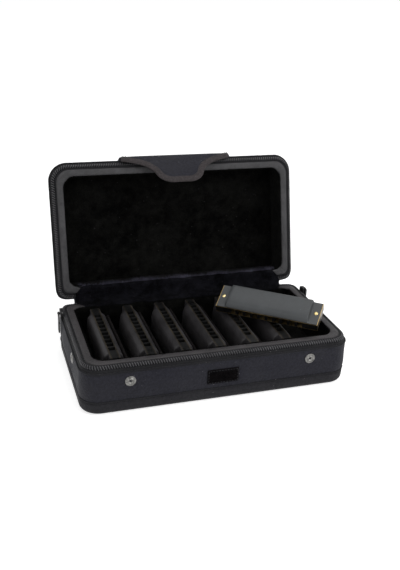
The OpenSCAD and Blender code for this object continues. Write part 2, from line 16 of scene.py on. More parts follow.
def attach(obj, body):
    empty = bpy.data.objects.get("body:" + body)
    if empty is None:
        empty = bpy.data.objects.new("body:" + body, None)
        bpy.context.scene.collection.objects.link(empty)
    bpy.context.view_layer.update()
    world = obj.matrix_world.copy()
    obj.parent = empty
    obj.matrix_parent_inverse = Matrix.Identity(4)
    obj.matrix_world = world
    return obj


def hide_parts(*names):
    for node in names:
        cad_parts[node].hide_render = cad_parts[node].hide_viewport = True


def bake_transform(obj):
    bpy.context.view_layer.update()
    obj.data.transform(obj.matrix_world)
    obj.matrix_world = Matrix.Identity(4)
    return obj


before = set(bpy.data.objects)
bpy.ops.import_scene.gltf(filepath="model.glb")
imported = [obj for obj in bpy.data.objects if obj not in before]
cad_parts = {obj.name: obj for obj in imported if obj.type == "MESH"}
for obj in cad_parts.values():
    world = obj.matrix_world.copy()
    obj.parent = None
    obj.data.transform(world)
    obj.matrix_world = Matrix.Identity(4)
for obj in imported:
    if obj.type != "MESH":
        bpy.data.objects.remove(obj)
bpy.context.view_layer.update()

# %% [markdown]
# ## Sizes
# All sizes are in millimetres, as in the CAD source, and are turned to metres when a mesh is
# made. Both halves of the case are drawn below their own rim plane, which makes one formula
# do for the base and for the lid: `w` is the height over the rim, and is negative inside.

# %% Sizes shared by many pieces
MM = 0.001
CASE_L, CASE_D, CORNER = 258.0, 136.0, 18.0  # length, depth, and the corners' radius
BASE_H, LID_H, RIM_GAP = 48.0, 34.408, 0.6  # heights of the halves, and the gap when shut
HINGE = np.array([69.2, 48.3])  # y and z of the line that the lid turns about
OPEN = math.radians(105)
SKIN, WALL, BAND_T, EDGE = 1.2, 13.0, 1.5, 5.0  # cloth, whole wall, leatherette, tray's round
INSET, SLOPE_H = 5.0, 5.0  # width and height of the slope that carries the zip
PIPE_BASE, PIPE_LID, PIPE_R = 13.0, 10.0, 0.9  # piping over each half's outside, its radius
FRONT_STUD, SIDE_STUD, LID_STUD = (86, -16), (-20, -14), (7, -15)  # along the wall, and w
SLOT_PITCH = 32.8
print("case", CASE_L, "x", CASE_D, "mm, base", BASE_H, "and lid", LID_H, "mm high")


# %% [markdown]
# ## The camera
# The photograph was taken from the left and a little above. A camera can be matched by eye,
# but here its turn, tilt, roll and distance were fitted to edges of the rim, the lid and the
# underside, so each value stands as it came out. The lens follows from the focal length in
# pixels, because the picture's tall side lies on the 36 mm sensor.

# %% The camera at the photograph's place
AZIMUTH, ELEVATION, ROLL = np.radians([-18.8142, 24.073, 2.706])
SHIFT_X, SHIFT_Y, DISTANCE = -0.792, -78.0917, 758.0455  # the origin, as the camera sees it
FOCAL_PX, TALL_PX, SENSOR = 757.7146, 570, 36.0
NEAREST = 0.01  # metres


def camera_turn():
    """Rows are the camera's right, up and back: back points from the target to the camera,
    right is level, and both turn by the roll."""
    back = np.array([math.sin(AZIMUTH) * math.cos(ELEVATION),
                     -math.cos(AZIMUTH) * math.cos(ELEVATION), math.sin(ELEVATION)])
    right = np.cross([0, 0, 1.0], back)
    right /= np.linalg.norm(right)
    up = np.cross(back, right)
    c, s = math.cos(ROLL), math.sin(ROLL)
    return np.array([c * right + s * up, c * up - s * right, back])


turn = camera_turn()
place = -turn.T @ np.array([SHIFT_X, SHIFT_Y, -DISTANCE]) * MM
camera = bpy.data.objects.new("camera", bpy.data.cameras.new("camera"))
bpy.context.scene.collection.objects.link(camera)
camera.data.lens = SENSOR * FOCAL_PX / TALL_PX
camera.data.clip_start = NEAREST
camera.matrix_world = Matrix.Translation(place.tolist()) @ Matrix(turn.T.tolist()).to_4x4()
bpy.context.scene.camera = camera
print("camera at", place.round(3), "lens", round(camera.data.lens, 2))


# %% [markdown]
# ## Grids of points
# Every new surface is a grid: two parameters run over it, and numpy works out all of its points
# at once. One helper turns grids into faces. It also keeps the distances along both directions
# as a UV map in metres, so that a weave has the same thread size on every piece.

# %% Shapes made of grids
def signed_volume(points, faces):
    """Sum over the faces, cut into triangles, of the box product of their corners about the
    middle of all points: positive where the faces look outwards."""
    middle, total = points.mean(0), 0.0
    for k in range(1, faces.shape[1] - 1):
        a, b, c = (points[faces[:, m]] - middle for m in (0, k, k + 1))
        total += np.einsum("ij,ij->i", a, np.cross(b, c)).sum()
    return total


CORNERS = ((0, 0), (1, 0), (1, 1), (0, 1))


def cells(P, around=False, along=False):
    """The four corners of each cell of a grid, counted row by row."""
    nu, nv = P.shape[:2]
    i, j = np.meshgrid(np.arange(nu - (not along)), np.arange(nv - (not around)), indexing="ij")
    return np.stack([(i + a) % nu * nv + (j + b) % nv for a, b in CORNERS], -1).reshape(-1, 4)


class Shape:
    """Points, faces and UVs of one piece, gathered from several grids."""

    def __init__(self):
        self.points, self.faces, self.uvs, self.count = [], [], [], 0

    def add(self, points, faces, uv=None, flip=None):
        """Adds faces with equally many corners. They are turned round where they look inwards."""
        points, faces = np.asarray(points, float), np.asarray(faces)
        uv = np.zeros(faces.shape + (2,)) if uv is None else uv
        if signed_volume(points, faces) < 0 if flip is None else flip:
            faces, uv = faces[:, ::-1], uv[:, ::-1]
        self.points.append(points)
        self.faces.append(faces + self.count)
        self.uvs.append(uv.reshape(-1, 2))
        self.count += len(points)
        return self

    def grid(self, P, around=False, along=False, caps=False, flat=None, flip=None):
        """Faces join P[i, j] to P[i+1, j+1]. Around closes every row j into a ring, along joins the
        last row to the first, and caps close a tube's two ends. Flat names the two axes of a
        plain UV map, in place of the distances along the grid."""
        nu, nv = P.shape[:2]
        quads = cells(P, around, along)
        i, j = quads[:, 0] // nv, quads[:, 0] % nv
        if flat:
            uv = P.reshape(-1, 3)[:, flat][quads] * MM
        else:
            U = np.cumsum(np.r_[0, np.linalg.norm(np.roll(P, -1, 0) - P, axis=-1).mean(1)]) * MM
            V = np.cumsum(np.r_[0, np.linalg.norm(np.roll(P, -1, 1) - P, axis=-1).mean(0)]) * MM
            uv = np.stack([np.stack([U[i + a], V[j + b]], -1) for a, b in CORNERS], 1)
        points = P.reshape(-1, 3)
        if flip is None:
            flip = signed_volume(points, quads) < 0
        self.add(points, quads, uv, flip)
        if caps:
            start = self.count - nu * nv
            for cap in (np.arange(nv)[::-1], np.arange(nv) + (nu - 1) * nv):
                cap = cap[::-1] if flip else cap
                self.faces.append(cap[None] + start)
                self.uvs.append(points[cap][:, flat or (0, 1)] * MM)
        return self


print("an open grid of 3 x 4 points has", len(cells(np.zeros((3, 4, 3)))), "cells")


# %% [markdown]
# A shape becomes a piece when it has a mesh, a finish and a body to ride on. Each piece also says
# which solids of the CAD model it stands for, so that those are hidden.

# %% From a shape to a piece
made = []
DOUBLES = 2e-6  # metres: points nearer than this are merged


def dress(name, shape, body, material, replaces=(), angle=35, weld=False, wall=0.0):
    """Makes the mesh in metres, merges doubles where asked, gives it a wall, a material and the
    slot it takes its finish from, and lets it ride on its body. A piece given no body is left
    unparented."""
    mesh = bpy.data.meshes.new(name)
    points = np.concatenate(shape.points) * MM
    mesh.from_pydata(points.tolist(), [], [row for block in shape.faces for row in block.tolist()])
    uv = mesh.uv_layers.new(name="metres")
    uv.data.foreach_set("uv", np.concatenate(shape.uvs).astype(np.float32).ravel())
    if weld:
        bm = bmesh.new()
        bm.from_mesh(mesh)
        bmesh.ops.remove_doubles(bm, verts=bm.verts, dist=DOUBLES)
        bm.to_mesh(mesh)
        bm.free()
    mesh.shade_smooth()
    mesh.set_sharp_from_angle(angle=math.radians(angle))
    mesh.materials.append(material)
    piece = bpy.data.objects.new(name, mesh)
    bpy.context.scene.collection.objects.link(piece)
    if wall:
        thick = piece.modifiers.new("wall", "SOLIDIFY")
        thick.thickness, thick.offset = wall * MM, -1
    if body:
        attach(piece, body)
    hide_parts(*replaces)
    made.append((name, len(mesh.polygons)))
    return piece


print("dressed so far:", len(made))


# %% [markdown]
# ## Curves for sections
# A wall's section is a short list of corner points. A hand modeller would bevel its corners;
# here each corner is cut again and again, which rounds it and keeps the section's size. Cloth
# isn't quite flat, and a sum of seeded sines gives it the same gentle waves on every run.

# %% Rounded sections and gentle waves
def soften(points, times=2, closed=True):
    """Each round puts two points on every edge, at a quarter and three quarters of it."""
    P = np.asarray(points, float)
    for _ in range(times):
        A, B = (P, np.roll(P, -1, 0)) if closed else (P[:-1], P[1:])
        Q = np.stack([0.75 * A + 0.25 * B, 0.25 * A + 0.75 * B], 1).reshape(-1, P.shape[1])
        P = Q if closed else np.concatenate([P[:1], Q, P[-1:]])
    return P


def waves(P, size, seed, count=8):
    """Sum of sines over random directions, with wavelengths near size, about -1 to 1."""
    draw = np.random.default_rng(seed)
    ways = draw.normal(size=(count, 3))
    lengths = size * draw.uniform(0.6, 1.5, count)
    ways *= (2 * np.pi / lengths / np.linalg.norm(ways, axis=1))[:, None]
    return np.sin(P @ ways.T + draw.uniform(0, 6.3, count)).sum(-1) / (1.2 * math.sqrt(count))


def step(t):
    """0 below 0, 1 above 1, and between them three t squared less two t cubed."""
    t = np.clip(t, 0, 1)
    return t * t * (3 - 2 * t)


def unit(arrows):
    """Arrows divided by their lengths."""
    return arrows / np.linalg.norm(arrows, axis=-1, keepdims=True)


def evenly(line, spacing):
    """Distances along a flat line, a spacing apart, and the points that lie there."""
    reach = np.r_[0, np.cumsum(np.linalg.norm(np.diff(line, axis=0), axis=1))]
    s = np.arange(0, reach[-1], spacing)
    return s, np.stack([np.interp(s, reach, line[:, k]) for k in (0, 1)], -1)


print("a square softened twice has", len(soften(CORNERS)), "points")


# %% [markdown]
# ## The way round the case
# Every ring of the case follows the same rounded rectangle, a little further in or out. The
# case could be a bevelled box, but a path with equally many points at each inset lets a
# section be carried round it and closed without a seam. The rear is left open for the zip.

# %% The outline, and sections carried round it
TURN, LONG, SIDE = 20, 74, 33  # steps of a corner, a long run and a side run
SQUARE = 3.8  # power of the squarer rear corners, where 2 is a circle


def outline(inset, radius, rear=True):
    """Four quarter turns, each angle in even steps, joined by straight runs in even steps: rear
    left corner, left side, front left corner, front, right side, and the rear if asked. The rear
    corners are squarer than a circle: there the arrow is divided by the sum of its parts to a
    power, taken to one over that power."""
    turns = []
    for sx, sy, start in ((-1, 1, 90), (-1, -1, 180), (1, -1, 270), (1, 1, 0)):
        a = np.radians(np.linspace(start, start + 90, TURN + 1))
        arc = np.stack([np.cos(a), np.sin(a)], -1)
        if sy > 0:
            arc /= (np.abs(arc) ** SQUARE).sum(-1, keepdims=True) ** (1 / SQUARE)
        middle = [sx * (CASE_L / 2 - inset - radius), sy * (CASE_D / 2 - inset - radius)]
        turns.append(arc * radius + middle)
    parts = []
    for k, steps in enumerate((SIDE, LONG, SIDE, LONG)):
        t = np.linspace(0, 1, steps + 1)[1:-1, None]
        parts += [turns[k], turns[k][-1] + (turns[(k + 1) % 4][0] - turns[k][-1]) * t]
    return np.concatenate(parts if rear else parts[:-1])


def ring(section, rear=True, radius=lambda inset: CORNER - inset):
    """P[i, j]: point i of the outline at the inset of section point j, at its height w."""
    ways = [outline(inset, radius(inset), rear) for inset, _ in section]
    rows = [np.column_stack([xy, np.full(len(xy), w)]) for xy, (_, w) in zip(ways, section)]
    return np.stack(rows, 1)


def outward():
    """Unit arrows out of the wall, from the outline one step in to the outline itself."""
    arrow = outline(0, CORNER) - outline(1, CORNER - 1)
    return np.column_stack([arrow, np.zeros(len(arrow))])[:, None]


print("points round the case", len(outline(0, CORNER)), "and on three sides of it",
      len(outline(0, CORNER, rear=False)))


# %% [markdown]
# ## Two halves from one drawing
# The base and the lid are the same box at two depths. The base's rim is lifted to its height.
# The lid's half is turned over, set on the rim, and swung back about the hinge line, by the
# same angle as in the CAD model.

# %% Where a half drawn below its rim goes
def opened(P):
    """Turns points of the shut lid about the hinge line by the angle that the lid stands open."""
    y, z = P[..., 1] - HINGE[0], P[..., 2] - HINGE[1]
    c, s = math.cos(OPEN), math.sin(OPEN)
    return np.stack([P[..., 0], HINGE[0] + y * c + z * s, HINGE[1] - y * s + z * c], -1)


def in_base(P):
    """Lifts w by the base's height."""
    return P + [0, 0, BASE_H]


def in_lid(P):
    """Turns w over, lifts it past the gap at the rim, and opens the lid."""
    return opened(P * [1, 1, -1] + [0, 0, BASE_H + RIM_GAP])


def lid_arrow(arrow, count):
    """An arrow of the shut lid as it points when the lid is open, once for each of count spots."""
    return np.repeat(opened(np.array([arrow])) - opened(np.zeros((1, 3))), count, 0)


HALVES = (("base", in_base, BASE_H, PIPE_BASE), ("lid", in_lid, LID_H, PIPE_LID))
print("the lid's front edge stands at", in_lid(np.array([0, -CASE_D / 2, 0])).round(1))


# %% [markdown]
# ## The lid's soft shoulders
# The photograph shows less of the lid's walls than a straight box has: they lean in towards its
# top, most near the hinge. The outer pieces of the lid all pass through one formula, so the
# cover, the piping and the tray lean by the same amount and stay sewn together.

# %% How far the lid's walls lean in
LEAN_FROM, LEAN_SHARE, LEAN_MOST = 7.0, 0.40, 8.2  # depth it starts at, slope, and its limit
LEAN_EASE, HINGE_MORE = 4, 0.8  # depth over which it sets in, and what the hinge adds


def lean_at(w, near_hinge=0.0):
    """A share of d squared over d plus an ease, where d is the depth past the seam, and up to as
    much again near the hinge, but never more than a fixed amount."""
    d = np.maximum(-w - LEAN_FROM, 0)
    lean = LEAN_SHARE * d * d / (d + LEAN_EASE) * (1 + HINGE_MORE * near_hinge)
    return np.minimum(lean, LEAN_MOST)


def lean_in(P):
    """Points go in along the wall's arrow by the lean at their height. The hinge's part sets in
    behind the middle of the side walls."""
    return P - outward() * lean_at(P[..., 2], step((P[..., 1] + 5) / 65))[..., None]


def in_half(P, half, put):
    """Puts a ring of the outside in its half, and leans it where that is the lid."""
    return put(lean_in(P) if half == "lid" else P)


print("lean at the lid's top", lean_at(-LID_H).round(1), "and behind", lean_at(-LID_H, 1.0))


# %% [markdown]
# ## Small shapes that repeat
# Plush is thousands of short fibres, and a seam is a row of stitches. Hair particles would be
# richer but don't export, so each fibre is a closed spike of four triangles and each stitch a
# bead of a few faces, all placed as arrays. Round metal is a profile turned about its axis.

# %% Fibres
def scatter(P, count, seed, flip=False):
    """Points drawn over a grid's cells by area, with the cell's normal at each."""
    draw = np.random.default_rng(seed)
    a, b, c = P[:-1, :-1].reshape(-1, 3), P[1:, :-1].reshape(-1, 3), P[:-1, 1:].reshape(-1, 3)
    normal = np.cross(b - a, c - a) * (-1 if flip else 1)
    size = np.linalg.norm(normal, axis=1)
    cell = draw.choice(len(a), count, p=size / size.sum())
    s, t = draw.random((2, count, 1))
    return a[cell] + (b - a)[cell] * s + (c - a)[cell] * t, normal[cell] / size[cell][:, None]


def side_arrows(normal, draw):
    """Two unit arrows across each normal, turned by a random angle."""
    x = unit(np.cross(normal, draw.normal(size=normal.shape)))
    return x, np.cross(normal, x)


def fibres(shape, spots, normal, height, width, seed, lean=0.6):
    """Closed spikes: three corners on a circle round the spot, sunk a little, and a leaning tip."""
    draw = np.random.default_rng(seed)
    x, y = side_arrows(normal, draw)
    turn = np.radians([0, 120, 240])
    sunk = spots - 0.15 * height * normal
    foot = [sunk + width * (math.cos(t) * x + math.sin(t) * y) for t in turn]
    tall = height * draw.uniform(0.5, 1, (len(spots), 1))
    tip = spots + tall * (normal + lean * draw.normal(size=x.shape) * 0.5)
    a, b, c, d = (np.arange(len(spots)) + k * len(spots) for k in range(4))
    sides = [np.stack(f, -1) for f in ((a, b, d), (b, c, d), (c, a, d), (c, b, a))]
    return shape.add(np.concatenate(foot + [tip]), np.concatenate(sides), flip=False)


def pile(shape, P, count, seed, height, flip):
    """Short fibres scattered over a surface."""
    spots, normal = scatter(P, count, seed, flip)
    return fibres(shape, spots, normal, height, 0.11, seed + 1, lean=0.9)


def looks_away(P, way):
    """Whether a grid's first cell has its back to an arrow."""
    return np.cross(P[1, 0] - P[0, 0], P[0, 1] - P[0, 0]) @ way < 0


one = fibres(Shape(), np.zeros((1, 3)), np.eye(3)[2:], 1, 1, 0)
print("a fibre has", len(one.faces[0]), "faces")


# %% Stitches, turned parts and rounded blocks
BEAD_AT = np.array([-1, -0.8, -0.35, 0.35, 0.8, 1])



def beads(shape, A, B, normal, r, sides=6):
    """A row of long beads from A to B: rings with radius r times the root of one less the square
    of the place along the bead, lifted like a sewn thread in the middle."""
    t, way = BEAD_AT, B - A
    side = np.cross(normal, unit(way))
    a = np.linspace(0, 2 * np.pi, sides, endpoint=False)
    radius = r * np.sqrt(np.clip(1.04 - t ** 2, 0.04, 1))
    rise = normal[:, None] * (r * (1 - t ** 2))[:, None] * 0.6
    centre = (A + B)[:, None] / 2 + way[:, None] * t[:, None] / 2 + rise
    circle = np.cos(a)[:, None] * side[:, None, None] + np.sin(a)[:, None] * normal[:, None, None]
    for bead in centre[:, :, None] + radius[:, None, None] * circle:
        shape.grid(bead, around=True, caps=True)
    return shape


def turned(shape, profile, frame_at, sides=40):
    """Turns (radius, height) points about the third arrow of each (origin, x, y, z) frame."""
    a = np.linspace(0, 2 * np.pi, sides, endpoint=False)
    r, h = np.asarray(profile, float).T
    for place in frame_at:
        origin, x, y, z = (np.asarray(v, float) for v in place)
        circle = np.cos(a)[:, None] * x + np.sin(a)[:, None] * y
        P = origin + r[:, None, None] * circle + h[:, None, None] * z
        shape.grid(P, around=True, caps=True)
    return shape


def block(lo, hi, corner, edge, steps=3, n=5):
    """Rings of a rounded rectangle from bottom to top: at the lower and upper edge they are
    drawn in by one less the sine of an angle while the height follows its cosine."""
    lo, hi = np.asarray(lo, float), np.asarray(hi, float)
    a = np.linspace(0, np.pi / 2, steps + 1)
    inset = np.r_[edge * (1 - np.sin(a)), edge * (1 - np.sin(a))[::-1]]
    z = np.r_[lo[2] + edge * (1 - np.cos(a)), hi[2] - edge * (1 - np.cos(a))[::-1]]
    q = np.radians(np.concatenate([np.linspace(s, s + 90, n + 1) for s in (0, 90, 180, 270)]))
    sx = np.repeat([1, -1, -1, 1], n + 1)
    sy = np.repeat([1, 1, -1, -1], n + 1)
    middle, half = (lo + hi)[:2] / 2, (hi - lo)[:2] / 2
    r = np.maximum(corner - inset, 0.02)[:, None]
    x = middle[0] + sx * (half[0] - inset[:, None] - r) + r * np.cos(q)
    y = middle[1] + sy * (half[1] - inset[:, None] - r) + r * np.sin(q)
    return np.stack([x, y, np.broadcast_to(z[:, None], x.shape)], -1)


print("a rounded block has", block((0, 0, 0), (1, 1, 1), 0.2, 0.1)[..., 0].size, "points")


# %% [markdown]
# ## Building blocks for the materials
# Each finish is made of nodes. The effects that several finishes share, which are thread, patches
# of tone, leather grain and lint, are built once as groups. They read the object's own
# coordinates or its UV map in metres, so they stay in place when the object or camera moves.

# %% Node helpers
def node(tree, kind, inputs=(), **settings):
    """Adds a node. An input given as a socket is linked, and any other value is set."""
    new = tree.nodes.new("ShaderNode" + kind)
    for key, value in settings.items():
        setattr(new, key, value)
    for key, value in dict(inputs).items():
        if isinstance(value, bpy.types.NodeSocket):
            tree.links.new(value, new.inputs[key])
        else:
            new.inputs[key].default_value = value
    return new


def sums(tree, kind, a, b=0.0):
    """One Math node: add, multiply, sine and so on."""
    return node(tree, "Math", {0: a, 1: b}, operation=kind).outputs[0]


def vectors(tree, kind, inputs):
    """One Vector Math node: scale, multiply and so on."""
    return node(tree, "VectorMath", inputs, operation=kind).outputs[0]


def spread(tree, value, **limits):
    """One Map Range node. Its limits are named with low lines for the gaps."""
    limits = {key.replace("_", " "): limit for key, limit in limits.items()}
    return node(tree, "MapRange", {"Value": value, **limits}).outputs[0]


def blend_tone(tree, factor, a, b):
    """Colour a where the factor is 0 and colour b where it is 1."""
    colours = {6: a if isinstance(a, bpy.types.NodeSocket) else (*a, 1),
               7: b if isinstance(b, bpy.types.NodeSocket) else (*b, 1)}
    return node(tree, "Mix", {0: factor, **colours}, data_type="RGBA").outputs[2]


def new_group(name, inputs, outputs):
    """A node group whose sockets are named, and its two end nodes."""
    tree = bpy.data.node_groups.new(name, "ShaderNodeTree")
    for label, kind in inputs:
        tree.interface.new_socket(label, in_out="INPUT", socket_type="NodeSocket" + kind)
    for label in outputs:
        tree.interface.new_socket(label, in_out="OUTPUT", socket_type="NodeSocketFloat")
    given = tree.nodes.new("NodeGroupInput").outputs
    return tree, given, tree.nodes.new("NodeGroupOutput").inputs


def use(tree, group, **values):
    """Places a group in a material with its own values, and returns its outputs."""
    return node(tree, "Group", values, node_tree=group).outputs


print("helpers", [helper.__name__
                   for helper in (node, sums, vectors, spread, blend_tone, new_group, use)])


# %% [markdown]
# Thread, patches of tone, leather grain and lint could each be an image, but an image has one
# scale, and these keep their size on every piece. Each group puts out plain values.

# %% The shared effects
def make_thread():
    """Height is the product of two sines of the UV map, which rises where one thread lies over
    the other. Streaks are noise drawn out along the threads."""
    tree, given, out = new_group("thread", (("Place", "Vector"), ("Threads", "Float")),
                                 ("Height", "Streaks"))
    grown = vectors(tree, "SCALE", {0: given["Place"], "Scale": given["Threads"]})
    part = node(tree, "SeparateXYZ", {0: grown}).outputs
    sines = [sums(tree, "SINE", sums(tree, "MULTIPLY", part[k], math.pi)) for k in (0, 1)]
    crossed = sums(tree, "MULTIPLY", *sines)
    tree.links.new(sums(tree, "MULTIPLY_ADD", crossed, 0.5), out["Height"])
    drawn = []
    for way in ((0.5, 0.02, 1), (0.02, 0.5, 1)):
        stretched = vectors(tree, "MULTIPLY", {0: grown, 1: way})
        noise = node(tree, "TexNoise", {"Scale": 1.0, "Detail": 2.0, "Vector": stretched})
        drawn.append(noise.outputs[0])
    tree.links.new(sums(tree, "MULTIPLY", sums(tree, "ADD", *drawn), 0.5), out["Streaks"])
    return tree


def make_patches():
    """Noise of the object's place, stretched so that its usual range fills 0 to 1."""
    tree, given, out = new_group("patches", (("Place", "Vector"), ("Scale", "Float"),
                                             ("Detail", "Float")), ("Tone",))
    noise = node(tree, "TexNoise", {"Vector": given["Place"], "Scale": given["Scale"],
                                    "Detail": given["Detail"], "Roughness": 0.6})
    tone = spread(tree, noise.outputs[0], From_Min=0.32, From_Max=0.68)
    tree.links.new(tone, out["Tone"])
    return tree


def make_grain():
    """Height rises from the border of each cell to its middle, as leather grain does, and Furrow is
    1 in the borders."""
    sockets = (("Place", "Vector"), ("Cells", "Float"))
    tree, given, out = new_group("grain", sockets, ("Height", "Furrow"))
    bent = node(tree, "TexNoise", {"Vector": given["Place"], "Scale": 300.0}).outputs["Color"]
    place = vectors(tree, "MULTIPLY_ADD", {0: bent, 1: (0.0008,) * 3, 2: given["Place"]})
    edge = node(tree, "TexVoronoi", {"Vector": place, "Scale": given["Cells"]},
                feature="DISTANCE_TO_EDGE").outputs[0]
    tree.links.new(spread(tree, edge, From_Max=0.22), out["Height"])
    furrow = spread(tree, edge, From_Max=0.09, To_Min=1.0, To_Max=0.0)
    tree.links.new(furrow, out["Furrow"])
    return tree


def make_lint():
    """Mask is 1 in the middle of a few cells, picked where the cell's random red is low."""
    tree, given, out = new_group("lint", (("Place", "Vector"), ("Cells", "Float"),
                                          ("Share", "Float")), ("Mask",))
    cell = node(tree, "TexVoronoi", {"Vector": given["Place"], "Scale": given["Cells"]}).outputs
    near = sums(tree, "LESS_THAN", cell["Distance"], 0.22)
    red = node(tree, "SeparateColor", {0: cell["Color"]}).outputs[0]
    picked = sums(tree, "LESS_THAN", red, given["Share"])
    tree.links.new(sums(tree, "MULTIPLY", near, picked), out["Mask"])
    return tree


THREAD, PATCHES, GRAIN, LINT = make_thread(), make_patches(), make_grain(), make_lint()
print("node groups", [g.name for g in (THREAD, PATCHES, GRAIN, LINT)])


# %% [markdown]
# ## The finishes
# Four recipes cover the whole case: woven cloth, plush, leatherette, and hard surfaces such as
# enamel, brass, nickel and plastic. Flat colours would be quicker, but the real surfaces show
# thread, pile, grain and tarnish. Colours are linear values, read off as plain tones.

# %% How a material begins and ends
def start_material(name, rough, **constants):
    """An empty material, its tree, its shader, and the object coordinates that it reads. What is
    the same all over the surface is set on the shader itself."""
    mat = bpy.data.materials.new(name)
    mat.use_nodes = True
    tree = mat.node_tree
    shader = tree.nodes["Principled BSDF"]
    shader.inputs["Roughness"].default_value = rough
    for key, value in constants.items():
        shader.inputs[key.replace("_", " ")].default_value = value
    return mat, tree, shader, node(tree, "TexCoord").outputs["Object"]


def end_material(tree, shader, colour, rough, heights):
    """Links the colour and the roughness, and sums the heights, in metres, through Bump nodes."""
    tree.links.new(colour, shader.inputs["Base Color"])
    roughness = spread(tree, rough[0], To_Min=rough[1], To_Max=rough[2])
    tree.links.new(roughness, shader.inputs["Roughness"])
    below = {}
    for height, size in heights:
        bump = node(tree, "Bump", {"Height": height, "Distance": size, "Strength": 1.0, **below})
        below = {"Normal": bump.outputs[0]}
    tree.links.new(below["Normal"], shader.inputs["Normal"])


def patches(tree, place, scale, detail):
    """A mask of soft patches, more to the metre the larger the scale."""
    return use(tree, PATCHES, Place=place, Scale=scale, Detail=detail)["Tone"]


def overlaid(tree, mask, share, colour, tone):
    """The tone over the colour where the mask is 1, by a share."""
    return blend_tone(tree, sums(tree, "MULTIPLY", mask, share), colour, tone)


def linty(tree, place, cells, few, share, colour, tone):
    """Specks of a pale tone over the colour, in a few of its cells."""
    mask = use(tree, LINT, Place=place, Cells=cells, Share=few)["Mask"]
    return overlaid(tree, mask, share, colour, tone)


def half_tone(colour):
    """Half as bright: painted shade for what lies deeper, and the weave's darker tone."""
    return tuple(0.5 * c for c in colour)


print("half as bright as 0.2, 0.1, 0.0:", half_tone((0.2, 0.1, 0.0)))


# %% Woven cloth
def woven(name, dark, light, threads, rough=(0.6, 0.85), thick=0.00012, sheen=0.04, share=0.012):
    """Thread tone and patches mix two colours, and a little pale lint lies on top."""
    mat, tree, shader, place = start_material(name, 0.7, Sheen_Weight=sheen, Sheen_Roughness=0.5,
                                              Specular_IOR_Level=0.16)
    uv = node(tree, "UVMap", uv_map="metres").outputs[0]
    cloth = use(tree, THREAD, Place=uv, Threads=threads)
    wide, fleck = patches(tree, place, 22.0, 4.0), patches(tree, place, 480.0, 2.0)
    shares = [sums(tree, "MULTIPLY", tone, part)
              for tone, part in ((cloth["Streaks"], 0.25), (wide, 0.2), (fleck, 0.55))]
    tone = sums(tree, "ADD", sums(tree, "ADD", shares[0], shares[1]), shares[2])
    base = blend_tone(tree, tone, dark, light)
    colour = overlaid(tree, cloth["Height"], 0.6, base, half_tone(dark))
    colour = linty(tree, place, 700.0, share, 0.5, colour, (0.25, 0.24, 0.25))
    heights = ((wide, 0.0004), (fleck, 0.0002), (cloth["Height"], thick))
    end_material(tree, shader, colour, (wide, *rough), heights)
    return mat


print("recipe", woven.__name__ + ":", woven.__doc__.split(".")[0])


# %% Plush
def plush(name, dark, light, sheen=0.012, share=0.02, scale=140.0):
    """Tone from patches of three sizes, with lint, under a faint sheen like a pile's."""
    mat, tree, shader, place = start_material(name, 0.95, Sheen_Weight=sheen, Sheen_Roughness=0.4,
                                              Specular_IOR_Level=0.02)
    sizes = ((30.0, 3.0), (scale, 5.0), (1300.0, 3.0))
    broad, small, tips = (patches(tree, place, *size) for size in sizes)
    tone = sums(tree, "MULTIPLY", sums(tree, "ADD", sums(tree, "ADD", broad, small), tips), 0.333)
    colour = blend_tone(tree, spread(tree, tone, From_Min=0.25, From_Max=0.8), dark, light)
    colour = linty(tree, place, 520.0, share, 0.25, colour, (0.12, 0.11, 0.12))
    end_material(tree, shader, colour, (small, 0.85, 1.0), ((small, 0.0006), (tips, 0.0005)))
    return mat


print("recipe", plush.__name__ + ":", plush.__doc__.split(".")[0])


# %% Leatherette
def leather(name, dark, light, cells=900.0, rough=(0.42, 0.66)):
    """Grain with furrows darkened as painted shade, paler patches where it is rubbed, and soft lumps
    under it.
    """
    mat, tree, shader, place = start_material(name, 0.5, Specular_IOR_Level=0.3)
    grain = use(tree, GRAIN, Place=place, Cells=cells)
    wide, rub = patches(tree, place, 45.0, 5.0), patches(tree, place, 160.0, 6.0)
    tone = sums(tree, "MULTIPLY", sums(tree, "ADD", wide, rub), 0.5)
    base = blend_tone(tree, tone, dark, light)
    # Painted shade: the grain's furrows are darkened toward half the dark tone.
    colour = overlaid(tree, grain["Furrow"], 0.45, base, half_tone(dark))
    end_material(tree, shader, colour, (rub, *rough), ((wide, 0.0006), (grain["Height"], 0.00012)))
    return mat


print("recipe", leather.__name__ + ":", leather.__doc__.split(".")[0])


# %% Enamel, metal, plastic and board
def hard(name, dark, light, rough, scale=60.0, grain=0.00002, dust=0.006, **constants):
    """Two tones in patches, fine unevenness, and dust. Metals are given Metallic 1."""
    mat, tree, shader, place = start_material(name, rough[0], **constants)
    wide, fine = patches(tree, place, scale, 5.0), patches(tree, place, 1800.0, 3.0)
    pale = tuple(min(1.0, 2.5 * c + 0.04) for c in light)
    colour = linty(tree, place, 650.0, dust, 0.4, blend_tone(tree, wide, dark, light), pale)
    end_material(tree, shader, colour, (wide, *rough), ((fine, grain),))
    return mat


print("recipes", [recipe.__name__ for recipe in (woven, plush, leather, hard)])


# %% [markdown]
# Each finish of the case is one call: the darkest and the lightest tone of its patches, and what
# sets it apart, such as threads to the metre, lint, or the range of its roughness.

